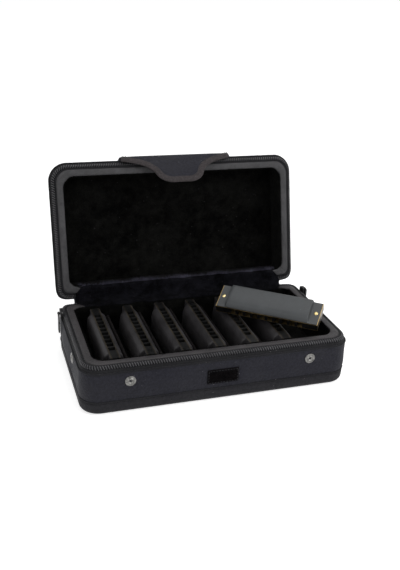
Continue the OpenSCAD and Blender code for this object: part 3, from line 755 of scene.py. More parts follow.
# %% The finishes of this case
NYLON = woven("navy nylon", (0.005, 0.005, 0.008), (0.027, 0.027, 0.038), 1300.0)
PAN = woven("base cloth", (0.006, 0.006, 0.008), (0.027, 0.026, 0.031), 1300.0)
CORD = woven("piping cloth", (0.005, 0.005, 0.007), (0.012, 0.012, 0.015), 1600.0)
TAPE = woven("zip tape", (0.003, 0.003, 0.004), (0.014, 0.014, 0.016), 1700.0, share=0.004)
WEB = woven("webbing", (0.018, 0.015, 0.016), (0.072, 0.062, 0.064), 900.0, thick=0.0003)
THREADS = woven("sewing thread", (0.02, 0.02, 0.024), (0.05, 0.05, 0.056), 3000.0)
BAND = leather("rim leatherette", (0.014, 0.013, 0.014), (0.052, 0.047, 0.050))
# Painted light: a lighter copy of the rim leatherette for the lid, where the band catches more
# light.
BAND_LID_PAINTED_LIGHT = leather("lid leatherette painted light", (0.014, 0.014, 0.015), (0.066, 0.064, 0.068))
PLUSH = plush("black plush", (0.0004, 0.0004, 0.0004), (0.0085, 0.0085, 0.0078))
PLUSH_DIVIDER = plush("divider plush", (0.004, 0.0034, 0.004), (0.022, 0.019, 0.019))
PLUSH_HINGE = plush("hinge plush", (0.0006, 0.0006, 0.0009), (0.012, 0.012, 0.016), share=0.04)
# Painted highlight: pale bluish fibres stand for the light along the hinge's fold.
HINGE_PAINTED_HIGHLIGHT = plush("hinge painted highlight", (0.025, 0.025, 0.037), (0.105, 0.10, 0.135), share=0.05)
LOOP = plush("loop tape", (0.003, 0.0026, 0.003), (0.012, 0.010, 0.011), scale=400.0)
HOOK = hard("hook tape", (0.004, 0.004, 0.005), (0.010, 0.010, 0.011), (0.4, 0.6),
            Specular_IOR_Level=0.2)
NICKEL = hard("nickel", (0.07, 0.07, 0.067), (0.26, 0.255, 0.245), (0.2, 0.42), scale=500.0,
              Metallic=1.0)
# Painted shade: the dark centre cap stands for the shade inside the stud's hollow eye.
STUD_EYE_PAINTED_SHADE = hard("stud centre painted shade", (0.01, 0.01, 0.012), (0.05, 0.05, 0.055), (0.2, 0.35), Metallic=1.0)
SLIDER = hard("slider metal", (0.008, 0.008, 0.009), (0.022, 0.022, 0.024), (0.3, 0.5), Metallic=0.5)
# Painted highlight: the coil is lighter than its black plastic, so the teeth show pale dots.
COIL_PAINTED_HIGHLIGHT = hard("zip coil", (0.028, 0.027, 0.030), (0.080, 0.078, 0.084), (0.3, 0.45),
            Specular_IOR_Level=0.4)
COMB = hard("comb plastic", (0.003, 0.003, 0.003), (0.008, 0.008, 0.008), (0.25, 0.4),
            Specular_IOR_Level=0.3)
BRASS = hard("reed brass", (0.15, 0.105, 0.05), (0.36, 0.27, 0.13), (0.3, 0.5), Metallic=1.0)
# Painted shade: a darker, duller copy of the reed brass for the plates of the harmonicas in the
# slots.
BRASS_PAINTED_SHADE = hard("reed brass painted shade", (0.012, 0.010, 0.007), (0.045, 0.036, 0.022), (0.45, 0.6),
                  Metallic=0.6)
RIVET = hard("rivet brass", (0.55, 0.42, 0.18), (0.90, 0.76, 0.42), (0.15, 0.3), Metallic=1.0)
ENAMEL = hard("cover enamel", (0.030, 0.033, 0.035), (0.048, 0.052, 0.055), (0.4, 0.55), dust=0.01,
              Specular_IOR_Level=0.35)
# Painted shade: a darker copy of the cover enamel for the harmonicas that sit in the slots.
ENAMEL_PAINTED_SHADE = hard("stored cover enamel painted shade", (0.014, 0.013, 0.014), (0.030, 0.028, 0.030), (0.4, 0.55),
                   dust=0.012, Specular_IOR_Level=0.3)
BOARD = hard("grey board", (0.10, 0.10, 0.10), (0.16, 0.16, 0.16), (0.8, 0.9), grain=0.00008)
FOAM = hard("foam", (0.03, 0.03, 0.035), (0.06, 0.06, 0.065), (0.9, 1.0), scale=400.0, grain=0.0004)
print("materials", len(bpy.data.materials))


# %% [markdown]
# ## Nylon walls
# Each half is wrapped in woven nylon over foam. The cover is a closed ring: its outer face
# swells a little between the seams and is drawn in round each stud, which a plain box wouldn't
# show. A cloth simulation could do the same, but a foam wall hardly moves.

# %% Wall covers
SEAM_W, SEAM_R, COVER_TOP = -6.9, 0.8, -7.75  # the seam ridge, and the cover's upper edge
SEATS = {"base": [(sx * FRONT_STUD[0], -CASE_D / 2, FRONT_STUD[1]) for sx in (-1, 1)]
                 + [(sx * CASE_L / 2, *SIDE_STUD) for sx in (-1, 1)],
         "lid": [(sx * CASE_L / 2, *LID_STUD) for sx in (-1, 1)]}
PATCH_HALF, PATCH_W = (19, 11), -22.5  # the calm zone round the loop patch, and its middle


def wall_cover(half, depth, pipe, seed):
    """The outer face goes out by a sine of the height, times waves, less a bell at each stud. It
    lies flat behind the loop patch."""
    rows = 24
    t = np.linspace(0, 1, rows)
    low = pipe + PIPE_R + 0.05 - depth
    section = [(0, COVER_TOP + (low - COVER_TOP) * v) for v in t] + [(SKIN, low), (SKIN, COVER_TOP)]
    P = ring(section)
    face = P[:, :rows]
    swell = np.sin(np.pi * t) ** 0.6
    puff = swell * (0.6 + 0.35 * waves(face, 38, seed) + 0.12 * waves(face, 11, seed + 1))
    if half == "base":
        beside = step((PATCH_HALF[0] - np.abs(face[..., 0])) / 4)
        near_patch = beside * step((PATCH_HALF[1] - np.abs(face[..., 2] - PATCH_W)) / 4)
        puff = puff * (1 - near_patch * (face[..., 1] < 0))
    for seat in SEATS[half]:
        far = ((face - seat) ** 2).sum(-1)
        puff = puff * (1 - np.exp(-far / 60)) - 0.15 * np.exp(-far / 30)
    P[:, :rows] += outward() * puff[..., None]
    return P


for k, (half, put, depth, pipe) in enumerate(HALVES):
    P = in_half(wall_cover(half, depth, pipe, 11 + 5 * k), half, put)
    cover = Shape().grid(P, around=True, along=True)
    piece = dress(half + "_wall_cover", cover, half, NYLON, [half + "_side_cover"])
print("wall covers", made[-2:])


# %% [markdown]
# ## Foam inside the lid's wall
# The foam is what keeps the walls up. The CAD core has straight sides, which would stand out
# through a leaning cover, so the lid's foam is drawn again from the same section and leans too.

# %% Foam inside the lid's wall
FOAM_IN, TOP_LEAN = WALL - 2, 4.5  # its inner face, and the most that its top edge moves


def lid_foam():
    """The CAD core's section, with its outer corner points leaning in as the cover does. The
    point at the top's edge comes back out by what it moved past its limit."""
    top = SKIN - LID_H
    section = [(SKIN, EDGE - LID_H), (EDGE, top), (FOAM_IN, top), (FOAM_IN, -BAND_T),
               (INSET, -BAND_T), (SKIN, -BAND_T - SLOPE_H), (SKIN, -12), (SKIN, -18), (SKIN, -24)]
    outer = [0, 1, 5, 6, 7, 8]
    straight = ring(section)
    P = straight.copy()
    P[:, outer] = lean_in(P)[:, outer]
    moved = np.linalg.norm((straight - P)[:, 1], axis=-1)
    P[:, 1] += outward()[:, 0] * np.maximum(moved - TOP_LEAN, 0)[:, None]
    return P


foam = Shape().grid(in_lid(lid_foam()), around=True, along=True)
dress("lid_foam", foam, "lid", FOAM, ["lid_wall_core"])
print("foam", made[-1:])

# %% [markdown]
# ## Trays under the walls
# The bottom of the base and the top of the lid are each one tray of cloth: it comes down from the
# piping, round a soft edge, and across to a line in the middle, where its points are merged.
# Solidify gives the cloth its thickness.

# %% Bottom tray and lid tray
FLAT_STEPS, SINK, CROWN = 24, 0.25, 1.6  # steps to the middle, the base's hollow, the lid's rise


def tray(half, put, depth, pipe, crown, seed):
    """Down the wall, round a quarter circle, and straight in to a line in the middle. The flat goes
    out by the crown, which fades near the sides, and waves."""
    a = np.linspace(0, np.pi / 2, 8)
    top = pipe - PIPE_R - 0.05
    side = [(0, top - depth), (0, (top + EDGE) / 2 - depth)]
    side += [(EDGE - EDGE * math.cos(v), EDGE - EDGE * math.sin(v) - depth) for v in a]
    wall = ring(side)
    wall[:, :2] += outward() * 0.25 * waves(wall[:, :2], 24, seed)[..., None]
    if half == "lid":
        wall = lean_in(wall)
    last, reach = wall[:, -1:], (CASE_L - CASE_D) / 2
    middle = np.stack([np.clip(last[..., 0], -reach, reach), 0 * last[..., 1], last[..., 2]], -1)
    flat = last + (middle - last) * np.linspace(0, 1, FLAT_STEPS)[:, None]
    room = [size / 2 - 12 - np.abs(flat[..., k]) for k, size in enumerate((CASE_L, CASE_D))]
    fade = step(room[0] / 30) * step(room[1] / 30)
    long, short = (waves(flat, size, seed) for size in (60, 30))
    flat[..., 2] -= fade * crown * (1 + 0.25 * long if crown > 0 else 0.5 + 0.5 * short)
    P = put(np.concatenate([wall, flat[:, 1:]], 1))
    turn_round = signed_volume(P.reshape(-1, 3), cells(P, along=True)) < 0
    shape, n = Shape(), wall.shape[1]
    shape.grid(P[:, :n], along=True, flip=turn_round)
    seen = (0, 1) if half == "base" else (0, 2)
    return shape.grid(P[:, n - 1:], along=True, flat=seen, flip=turn_round)


trays = ((-SINK, PAN, "base_bottom_panel"), (CROWN, NYLON, "lid_top_panel"))
for k, ((half, put, depth, pipe), (crown, cloth, panel)) in enumerate(zip(HALVES, trays)):
    shape = tray(half, put, depth, pipe, crown, 31 + k)
    dress(half + "_tray", shape, half, cloth, [panel], weld=True, wall=SKIN)
print("trays", made[-2:])


# %% [markdown]
# ## Piping and seams
# A cord in a sleeve of cloth hides the seam between tray and wall, and a thin ridge marks the seam
# under the zip. Both are a circle carried round the outline. Curve objects with a bevel would
# do too, but a ring keeps the same points as the walls, so it sits in them all the way.

# %% Piping and seam ridges
def cord_ring(inset, w, radius, sides=10):
    """A circle about (inset, w), with a slight beat along the way like a cord in its sleeve."""
    a = np.linspace(0, 2 * np.pi, sides, endpoint=False)
    P = ring([(inset + radius * math.cos(v), w + radius * math.sin(v)) for v in a])
    return P + outward() * 0.06 * waves(P, 5, 3)[..., None]


for half, put, depth, pipe in HALVES:
    piped = "base_lower_piping" if half == "base" else "lid_piping"
    for name, w, radius in ((piped, pipe - depth, PIPE_R), (half + "_upper_seam", SEAM_W, SEAM_R)):
        P = in_half(cord_ring(0.2, w, radius), half, put)
        shape = Shape().grid(P, around=True, along=True)
        dress(name + "_cord", shape, half, CORD, [name])
print("piping", made[-4:])


# %% [markdown]
# ## The leatherette rim
# A band of leatherette lies over the foam on three sides and is gathered in small folds where it
# turns the corners. The fold could be painted as bump, but it shows in the outline of the band,
# so the surface itself goes down in a few grooves that fan out to the inner edge.

# %% Rim bands
BAND_SECTION = [(6.4, -1.5), (6.4, -0.9), (6.5, -0.45), (6.8, -0.12), (7.4, 0.02), (8.4, 0.12),
                (9.6, 0.15), (10.8, 0.08), (11.7, -0.05), (12.3, -0.2), (12.75, -0.45),
                (12.95, -0.8), (13.0, -1.15), (13.0, -1.5)]
FLATTER = 1.3  # power of the inner edge's corners, where 2 is a circle and 1 a straight cut
GROOVE_STEP, GROOVE_DEEP, GROOVES = 22.5, 0.75, (8, 82)  # degrees apart, depth, first and last


def band_radius(inset):
    """The inner edge turns in a wide arc, as the gathered leatherette does."""
    return CORNER - INSET - (inset - INSET) / 8


def corner_place(P):
    """How far round a corner each point lies: the angle about the corner's middle, whether it is
    in the corner at all, and that middle."""
    middle = np.array([CASE_L / 2 - CORNER, CASE_D / 2 - CORNER])
    x, y = np.moveaxis(np.abs(P[..., :2]) - middle, -1, 0)
    angle = np.degrees(np.arctan2(np.maximum(y, 0), np.maximum(x, 0)))
    return angle, (x > 0) & (y > 0), middle * np.sign(P[..., :2])


def rim_band(seed):
    """The inner edge's corners are cut flatter. Grooves are the sixth power of a half raised
    cosine of the corner angle, deepest at the inner edge."""
    P = ring(BAND_SECTION, rear=False, radius=band_radius)
    angle, turning, middle = corner_place(P)
    c, v = np.cos(np.radians(angle)), np.sin(np.radians(angle))
    flatter = 1 - (c ** FLATTER + v ** FLATTER + 1e-9) ** (-1 / FLATTER)
    inward = np.clip((np.array([i for i, _ in BAND_SECTION]) - 5.5) / 7.5, 0, 1)
    P[..., :2] -= (P[..., :2] - middle) * (flatter * inward * turning)[..., None]
    beat = np.radians((angle - 45) * 360 / GROOVE_STEP) + 0.8 * waves(P, 25, seed)
    fan = 0.5 + 0.5 * np.cos(beat)
    between = (angle > GROOVES[0]) * (angle < GROOVES[1])
    groove = turning * fan ** 6 * GROOVE_DEEP * inward * between
    soft = 0.10 * waves(P, 13, seed + 2) * np.sin(np.pi * inward)
    top = np.array([w > 0.1 - BAND_T for _, w in BAND_SECTION])
    P[..., 2] += (soft - groove) * top
    return P


rims = [rim_band(51), rim_band(52)]
# The lid's band takes the lighter copy of the leatherette, painted light.
for (half, put, depth, pipe), rim, leatherette in zip(HALVES, rims, (BAND, BAND_LID_PAINTED_LIGHT)):
    shape = Shape().grid(put(rim), around=True, caps=True)
    dress(half + "_rim_leather", shape, half, leatherette, [half + "_rim_band"])
print("rim bands", made[-2:])


# %% [markdown]
# ## The zip
# The tape lies on the slope under the rim, and the coil is one wire wound round a cord along its
# edge. Teeth could be a repeated block, but a real coil zip is a flattened spiral, and that is
# also one formula: a small circle that runs round an oval while its middle goes round the case.

# %% Zip tapes and coils
SLOPE, SLOPE_N = np.array([0.605, 0.796]), np.array([-0.796, 0.605])  # up the slope, and off it
FOOT = np.array([SKIN, -BAND_T - SLOPE_H])
TAPE_FROM, TAPE_TO = 0.3, 6.28  # up the slope from its foot
COIL_AT = np.array([3.15, -1.70])
COIL_WIDE, COIL_HIGH, COIL_WIRE, COIL_PITCH = 1.5, 0.62, 0.44, 2.35  # oval, wire, one turn
TURN_STEPS = 10


def tape_ring():
    """The tape's section: a millimetre thick up the slope, then in under the leatherette."""
    a, b = FOOT + SLOPE * TAPE_FROM, FOOT + SLOPE * TAPE_TO
    section = [a, b, (7.2, -BAND_T), (7.2, -0.8), (4.6, -0.85), a + SLOPE_N]
    return ring(soften(section, 2), rear=False)


def coil_cord():
    """The cord inside the coil: an oval about the coil's middle, carried round the case."""
    a = np.linspace(0, 2 * np.pi, 8, endpoint=False)[:, None]
    wide, high = COIL_WIDE - 0.3, COIL_HIGH - 0.15
    section = COIL_AT + np.cos(a) * SLOPE * wide + np.sin(a) * SLOPE_N * high
    return ring(section, rear=False)


def coil_wire():
    """Middle plus an oval of the winding angle, which grows by a full turn for each pitch. The
    wire's own circle lies across the winding."""
    inset, w = COIL_AT
    s, xy = evenly(outline(inset, CORNER - inset, rear=False), COIL_PITCH / TURN_STEPS)
    middle = np.column_stack([xy, np.full(len(s), w)])
    way = unit(np.gradient(middle, axis=0))
    out, up = np.stack([way[:, 1], -way[:, 0], 0 * s], -1), np.array([0, 0, 1.0])
    along = SLOPE[1] * up - SLOPE[0] * out
    off = SLOPE_N[1] * up - SLOPE_N[0] * out
    wound = (2 * np.pi * s / COIL_PITCH)[:, None]
    path = middle + COIL_WIDE * np.cos(wound) * along + COIL_HIGH * np.sin(wound) * off
    radial = unit(np.cos(wound) / COIL_WIDE * along + np.sin(wound) / COIL_HIGH * off)
    cross = np.cross(unit(np.gradient(path, axis=0)), radial)
    a = np.radians([45, 135, 225, 315])[:, None, None]
    return np.moveaxis(path + COIL_WIRE * (np.cos(a) * radial + np.sin(a) * cross), 0, 1)


for half, put, depth, pipe in HALVES:
    tape = Shape().grid(put(tape_ring()), around=True, caps=True)
    tape.grid(put(coil_cord()), around=True, caps=True)
    dress(half + "_tape", tape, half, TAPE, [half + "_zip_tape"])
    coil = Shape().grid(put(coil_wire()), around=True, caps=True)
    # The coil's lighter colour paints the highlights on its teeth.
    dress(half + "_coil", coil, half, COIL_PAINTED_HIGHLIGHT, [half + "_zip_coil"], angle=70)
print("zip", made[-4:])


# %% [markdown]
# ## Plush linings
# Black plush lines the walls, the lid's panel, the floor and the dividers. Its pile is what makes
# the inside so dark and soft edged. The ground is a gently lumpy surface, and on it stand
# thousands of spikes, with longer ones along the rim, where the photograph shows fuzz.

# %% Wall linings
FLOOR_UP, LINING_T, ROWS = 3.7, 1.95, 10  # height of both floors, thickness, rows down the wall
OPENING = np.array([CASE_L, CASE_D]) / 2 - WALL


def lining(low, seed):
    """A closed ring two millimetres thick whose inner face waves a little."""
    w = np.linspace(-BAND_T, low, ROWS)
    P = ring([(WALL, v) for v in w] + [(WALL - LINING_T, low), (WALL - LINING_T, -BAND_T)])
    face = P[:, :ROWS]
    return P + np.pad(outward() * 0.16 * waves(face, 16, seed)[..., None], ((0, 0), (0, 2), (0, 0)))


def fringe(shape, edge, put, seed):
    """Fibres that start inside the opening and point out to its edge, a little down. The arrow is
    the ninth power of a spot's share of the way to the opening's side, in x and in y."""
    spots, _ = scatter(edge, 4200, seed)
    aside = np.clip(spots[:, :2] / OPENING, -1, 1) ** 9
    arrow = np.column_stack([aside, np.full(len(spots), -0.05)])
    foot = put(spots - arrow * [1.2, 1.2, 0])
    return fibres(shape, foot, put(spots + arrow) - put(spots), 2.1, 0.1, seed + 3, lean=0.2)


for k, (half, put, depth, pipe) in enumerate(HALVES):
    P = put(lining(FLOOR_UP - depth, 61 + k))
    shape = Shape().grid(P, around=True, along=True)
    shown = P[:, :ROWS] if half == "lid" else P[:, :7]
    pile(shape, shown, 9000, 71 + k, 0.75, flip=half == "lid")
    fringe(shape, rims[k][:, 9:12], put, 75 + k)
    piece = dress(half + "_plush_walls", shape, half, PLUSH, [half + "_lining"])
print("plush walls", made[-2:])


# %% [markdown]
# The lid's panel and the floor are pads: flat below, with a round edge and a slightly crowned
# top. Six upright dividers make the seven slots that hold the harmonicas apart.

# %% Panel, floor and dividers
DIVIDER_HALF, DIVIDER_W = (1.5, 54.7), (19.4, 36.9)  # half sizes across and along; low and high


def pad(inset, low, high, edge, swell, seed):
    """Rings of the outline: from a line in the middle of the underside out to the edge, round it,
    and back to a line on top, which rises by the swell and waves."""
    a = np.linspace(0, np.pi / 2, 4)
    inner = np.linspace(0, 1, 18)
    under = [(v, low) for v in np.linspace(CASE_D / 2, inset, 4)]
    rim = [(inset + edge * (1 - math.cos(v)), high - edge + edge * math.sin(v)) for v in a]
    top = [(inset + edge + (CASE_D / 2 - inset - edge) * v, high) for v in inner[1:]]
    P = ring(under + rim + top, radius=lambda i: max(CORNER - i, 0.001))
    n = len(top) + 1
    P[:, -n:, 2] += swell * step(inner * 3) * (0.6 + 0.5 * waves(P[:, -n:], 22, seed))
    return P


P = in_lid(pad(inset=FOAM_IN + 0.05, low=-30.7, high=-28.7, edge=1.0, swell=0.25, seed=81))
shape = Shape().grid(P, along=True)
pile(shape, P[:, 8:], 17000, 82, 0.7, flip=True)
piece = dress("lid_plush_panel", shape, "lid", PLUSH, weld=True)

P = pad(inset=WALL + 0.05, low=FLOOR_UP, high=DIVIDER_W[0], edge=2.5, swell=0.0, seed=83)
shape = Shape().grid(P, along=True)
pile(shape, P[:, 8:], 7000, 84, 0.7, flip=False)
piece = dress("floor_plush_pad", shape, "base", PLUSH, ["slot_floor_pad"], weld=True)

shape, (across, along) = Shape(), DIVIDER_HALF
for x in np.arange(6) * SLOT_PITCH - 82:
    P = block((x - across, -along, DIVIDER_W[0]), (x + across, along, DIVIDER_W[1]), 1.45, 1.4)
    shape.grid(P, around=True, caps=True)
    pile(shape, np.concatenate([P, P[:, :1]], 1), 1300, int(90 + x), 0.7, flip=False)
piece = dress("divider_plush", shape, "base", PLUSH_DIVIDER, ["slot_dividers"])
print("plush", made[-3:])


# %% [markdown]
# ## The cloth hinge
# A strip of nylon joins the two rear walls outside, and a strip of plush covers the gap inside.
# Each is one closed piece that lies on the base at one end and on the open lid at the other,
# and turns between them.

# %% Hinge strips
def lid_side(y, z):
    """A point of the shut lid, seen from the side, where it lies when the lid is open."""
    return opened(np.array([0.0, y, z]))[1:]


STRIP_HALF, STRIP_STEPS, END_FADE = 112.0, 120, 12  # half length, points along it, calm ends


def hinge_strip(section, seed, wave=0.3, ragged=0.0):
    """The section, rounded and carried along x, waves a little away from its ends, which can be
    ragged: they are drawn in by an amount that changes along the section."""
    x = np.linspace(-STRIP_HALF, STRIP_HALF, STRIP_STEPS)
    S = soften(section, 3)
    parts = (x[:, None], S[:, 0], S[:, 1])
    P = np.stack([np.broadcast_to(v, (STRIP_STEPS, len(S))) for v in parts], -1)
    calm = np.clip((STRIP_HALF - np.abs(x)) / END_FADE, 0, 1)[:, None]
    both = wave * calm * (waves(P, 17, seed) + 0.5 * waves(P, 6, seed + 1))
    P[..., 1:] += both[..., None] * 0.7
    P[..., 0] -= np.sign(x)[:, None] * (1 - calm) * ragged * (1.2 + waves(P, 9, seed + 2))
    return P


LIP, LID_LIP = np.array([68.5, 41.95]), lid_side(68.15, 54.3)
cloth = hinge_strip([(67, 41.95), LIP, (LIP + LID_LIP) / 2 + [0.85, -0.85], LID_LIP,
                     lid_side(67, 54.3), lid_side(64.43, 51.345), (69.5, 47.0),
                     (64.08, 45.08)], 101)
shape = Shape().grid(cloth, around=True, caps=True)
strip = dress("hinge_cloth", shape, None, NYLON, ["hinge_fabric"])
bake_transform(strip)

inner = hinge_strip([(55, 46.5), (63.2, 46.5), (69.2, 47.3), lid_side(63.2, 49.75),
                     lid_side(55, 49.75), lid_side(55, 48.7), lid_side(63.2, 48.7), (68.2, 49.3),
                     (62.2, 47.9), (55, 47.9)], 103, wave=0.55, ragged=1.6)
shape = Shape().grid(inner, around=True, caps=True)
face = inner[:, inner.shape[1] // 2 - 2:]
outwards = face.mean((0, 1)) - inner.mean((0, 1))
pile(shape, face, 15000, 104, 1.9, flip=looks_away(face, outwards))
strip = dress("hinge_plush", shape, None, PLUSH_HINGE, ["hinge_lining"])
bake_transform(strip)
print("hinge", made[-2:])


# %% [markdown]
# A pale bluish highlight runs where the lining turns from the hinge into the lid. It is painted
# into the colour of fibres that stand off the surface, thicker in some places.

# %% Painted highlight along the fold, as pale fibres
RIDGE_Y, RIDGE_Z, HIGHLIGHT_HALF = 54.8, 49.3, 107


def painted_highlight_spots():
    """Spots along x, kept by chance where a wave is high. They lie a little inside a ridge that
    waves too, and fall off upwards like half a bell."""
    draw = np.random.default_rng(106)
    x = draw.uniform(-HIGHLIGHT_HALF, HIGHLIGHT_HALF, 9000)
    dense = 0.5 + 0.5 * waves(np.stack([x, 0 * x, 0 * x], -1), 26, 108)
    x = x[draw.random(len(x)) < np.clip(dense, 0.15, 1)]
    ridge = RIDGE_Y + 0.7 * waves(np.stack([x, 0 * x, 0 * x], -1), 45, 109)
    inside, over = (np.abs(draw.normal(0, size, len(x))) for size in (0.5, 1.6))
    return np.column_stack([x, ridge - inside, RIDGE_Z + over])


spots = painted_highlight_spots()
out = lid_arrow([0, -1.0, 0.05], len(spots))
# The fibres' pale colour paints the highlight along the fold.
lint = fibres(Shape(), opened(spots), out, 2.6, 0.12, 107, lean=0.9)
dress("hinge_painted_highlight", lint, "lid", HINGE_PAINTED_HIGHLIGHT)
print("fluff", made[-1:])


# %% [markdown]
# ## Loop patch and studs
# The patch on the front grips the flap's hooks. Its face is a mat of tiny loops, sewn down along
# its border. The studs are turned: a flange, a raised ring, and a dark cap in the middle whose
# colour paints the shade of the hollow eye. A cylinder would miss the ring that catches the light.

# %% Loop patch
def on_front(P):
    """Lays a piece drawn flat, x across, y up and z out, onto the front wall."""
    return np.stack([P[..., 0], -CASE_D / 2 - P[..., 2], P[..., 1]], -1)


def border(x0, x1, y0, y1, pitch, gap):
    """Starts and ends of stitches along a rectangle, each a pitch apart and a gap shorter."""
    starts, ends = [], []
    round_it = np.array([(x0, y0), (x1, y0), (x1, y1), (x0, y1)], float)
    for a, b in zip(round_it, np.roll(round_it, -1, 0)):
        n = max(int(np.linalg.norm(b - a) / pitch), 1)
        t = np.arange(n)[:, None] / n
        starts.append(a + (b - a) * t)
        ends.append(a + (b - a) * (t + (1 - gap / pitch) / n))
    return np.concatenate(starts), np.concatenate(ends)


def lift(points, z):
    """Flat points at a height z."""
    return np.column_stack([points, np.full(len(points), z)])


PATCH_LO, PATCH_HI, PATCH_T = np.array([-15, 18.3]), np.array([15, 32.7]), 0.9
patch = on_front(block((*PATCH_LO, 0), (*PATCH_HI, PATCH_T), 1.2, 0.4))
shape = Shape().grid(patch, around=True, caps=True)
mat_grid = np.meshgrid(np.linspace(-14.2, 14.2, 12), np.linspace(19.0, 32.0, 8), [PATCH_T],
                       indexing="ij")
top = on_front(np.stack(mat_grid, -1)[:, :, 0])
pile(shape, top, 5200, 111, 0.55, flip=looks_away(top, [0, -1, 0]))
dress("loop_patch", shape, "base", LOOP, ["front_loop_patch"])
starts, ends = (on_front(lift(v, 1.15)) for v in border(-13.9, 13.9, 19.5, 31.5, 2.6, 0.8))
shape = beads(Shape(), starts, ends, np.array([[0, -1.0, 0]] * len(starts)), 0.26)
dress("loop_patch_stitches", shape, "base", THREADS)
print("patch", made[-2:])


# %% Studs
STUD = [(0.0, 0.5), (0.9, 0.5), (1.35, 0.62), (1.7, 1.1), (2.1, 1.38), (2.6, 1.38), (2.9, 1.1),
        (3.1, 0.72), (3.5, 0.55), (4.0, 0.68), (4.5, 0.82), (4.85, 0.7), (5.0, 0.4), (4.95, 0.0),
        (0.0, 0.0)]
EYE = [(0.0, 0.72), (0.5, 0.7), (0.95, 0.62), (1.3, 0.5), (0.0, 0.3)]
STUD_PROUD = 0.2  # how far the lid's studs stand off, on a wall that swells


def stud_frames(where):
    """Origin and three arrows of each stud: across, along and out of the wall."""
    frames = []
    for sx in (-1, 1):
        if where == "front":
            spot = (sx * FRONT_STUD[0], -CASE_D / 2, BASE_H + FRONT_STUD[1])
            frames.append((spot, (1, 0, 0), (0, 0, 1), (0, -1, 0)))
            continue
        y, w = SIDE_STUD if where == "side" else LID_STUD
        spot = np.array([sx * CASE_L / 2, y, BASE_H + w])
        if where == "lid":
            out = CASE_L / 2 + STUD_PROUD - lean_at(w, 0.1)
            spot = opened(np.array([sx * out, y, BASE_H + RIM_GAP - w]))
        frames.append((spot, (0, 1, 0), (0, 0, sx), (sx, 0, 0)))
    return frames


for where, name, body in (("front", "front_studs", "base"), ("side", "side_studs", "base"),
                          ("lid", "lid_side_studs", "lid")):
    places = stud_frames(where)
    rings, shaded_eyes = turned(Shape(), STUD, places), turned(Shape(), EYE, places, 24)
    dress(name + "_rings", rings, body, NICKEL, [name], angle=50)
    # The dark centres paint the shade of the studs' hollow eyes.
    dress(name + "_eyes", shaded_eyes, body, STUD_EYE_PAINTED_SHADE, angle=50)
print("studs", made[-6:])


# %% [markdown]
# ## The flap
# The flap is nylon bound with webbing, sewn to the lid's front and hanging from a fold. It bends at
# the fold and again at a crease when it is peeled, so it is made as one line seen from the
# side, bent by a heading that changes along it, and cut into a sleeve and a tongue.

# %% The flap's line and outline
FLAP_L, FLAP_ROOT, FLAP_TIP = 35.0, 57.0, 22.0  # length, and half widths of root and tip
WING_AT, WING_FALL, TIP_FROM = 5.5, 7.5, 24.0  # where it narrows, how slowly, where it rounds off
BIND_W, CUT_PANEL, CUT_BIND = 6.0, 9.5, 7.0  # webbing's width, and where sleeve and tongue part
FOLD = np.array([-71.2, 50.2])  # y and z of the fold, with the lid shut
FOLD_TURN, FOLD_HALF, DROOP = 44, 1.4, 8  # degrees, half length of its arc, and degrees more
LINE_STEP = 0.1


def wing(q):
    """Half width of the flap at the distance q from its fold, narrowing as a falling power of e."""
    past = np.maximum(q, WING_AT) - WING_AT
    return FLAP_TIP + (FLAP_ROOT - FLAP_TIP) * np.exp(-past / WING_FALL)


def wing_slope(q):
    """How fast the wing narrows: what is left over the tip's width, over the fall."""
    return -(wing(q) - FLAP_TIP) / WING_FALL


TIP_TURN = math.atan(-wing_slope(TIP_FROM))
TIP_R = (FLAP_L - TIP_FROM) / (1 - math.sin(TIP_TURN))
TIP_X = wing(TIP_FROM) - TIP_R * math.cos(TIP_TURN)


def half_width(q):
    """The wing, and past its lower end a circle that carries its slope on to the tip."""
    q = np.asarray(q, float)
    low = np.maximum(q, TIP_FROM) - (FLAP_L - TIP_R)
    return np.where(q > TIP_FROM, TIP_X + np.sqrt(np.clip(TIP_R ** 2 - low ** 2, 0, None)), wing(q))


def flap_point(x, q, h):
    """Follows the line for q millimetres from the fold and stands h off it, then opens with the
    lid. The heading is 0 up the lid's wall, turns through an arc at the fold, and droops on."""
    line = np.linspace(-20, 36, 561)
    turned_by = FOLD_TURN * step((line + FOLD_HALF) / (2 * FOLD_HALF))
    head = np.radians(turned_by + DROOP * np.clip(line / FLAP_L, 0, 1))
    run = np.stack([np.sin(head), -np.cos(head)], -1) * LINE_STEP
    at = np.cumsum(run, axis=0)
    at += FOLD - [0.25, 0] - at[np.argmin(np.abs(line))]
    y, z, t = (np.interp(q, line, v) for v in (at[:, 0], at[:, 1], head))
    y = y + lean_at(BASE_H + RIM_GAP - z)
    return opened(np.stack(np.broadcast_arrays(x, y - h * np.cos(t), z - h * np.sin(t)), -1))


def flap_cloth(q, inset, thick, seed):
    """A closed sheet: for each q a flat loop of points across and back, rounded at both sides."""
    u = np.linspace(-1, 1, 41)
    across = np.r_[u, u[::-1]]
    side = np.repeat([1.0, -1.0], len(u)) * np.tile(np.sqrt(np.clip(1 - u ** 8, 0.05, 1)), 2)
    half = half_width(q) - inset
    x = half[:, None] * across
    Q = np.broadcast_to(q[:, None], x.shape)
    puff = 0.25 * waves(np.stack([x, Q, 0 * x], -1), 19, seed) * np.clip((Q - 2) / 6, 0, 1)
    return flap_point(x, Q, puff + side * thick / 2)


print("flap", 2 * FLAP_ROOT, "mm wide at its root, tip's round", round(TIP_R, 1), "mm")


# %% [markdown]
# The webbing is a strip of its own. Its middle line runs three millimetres inside the flap's edge,
# out along one wing and back along the other, and a flat rounded section is carried along it.

# %% The webbing along the flap's edge
WEB_T, STITCH_AT, STITCH_H, STITCH_SHARE = 1.3, 3.1, 1.32, 0.65  # in millimetres, and a share


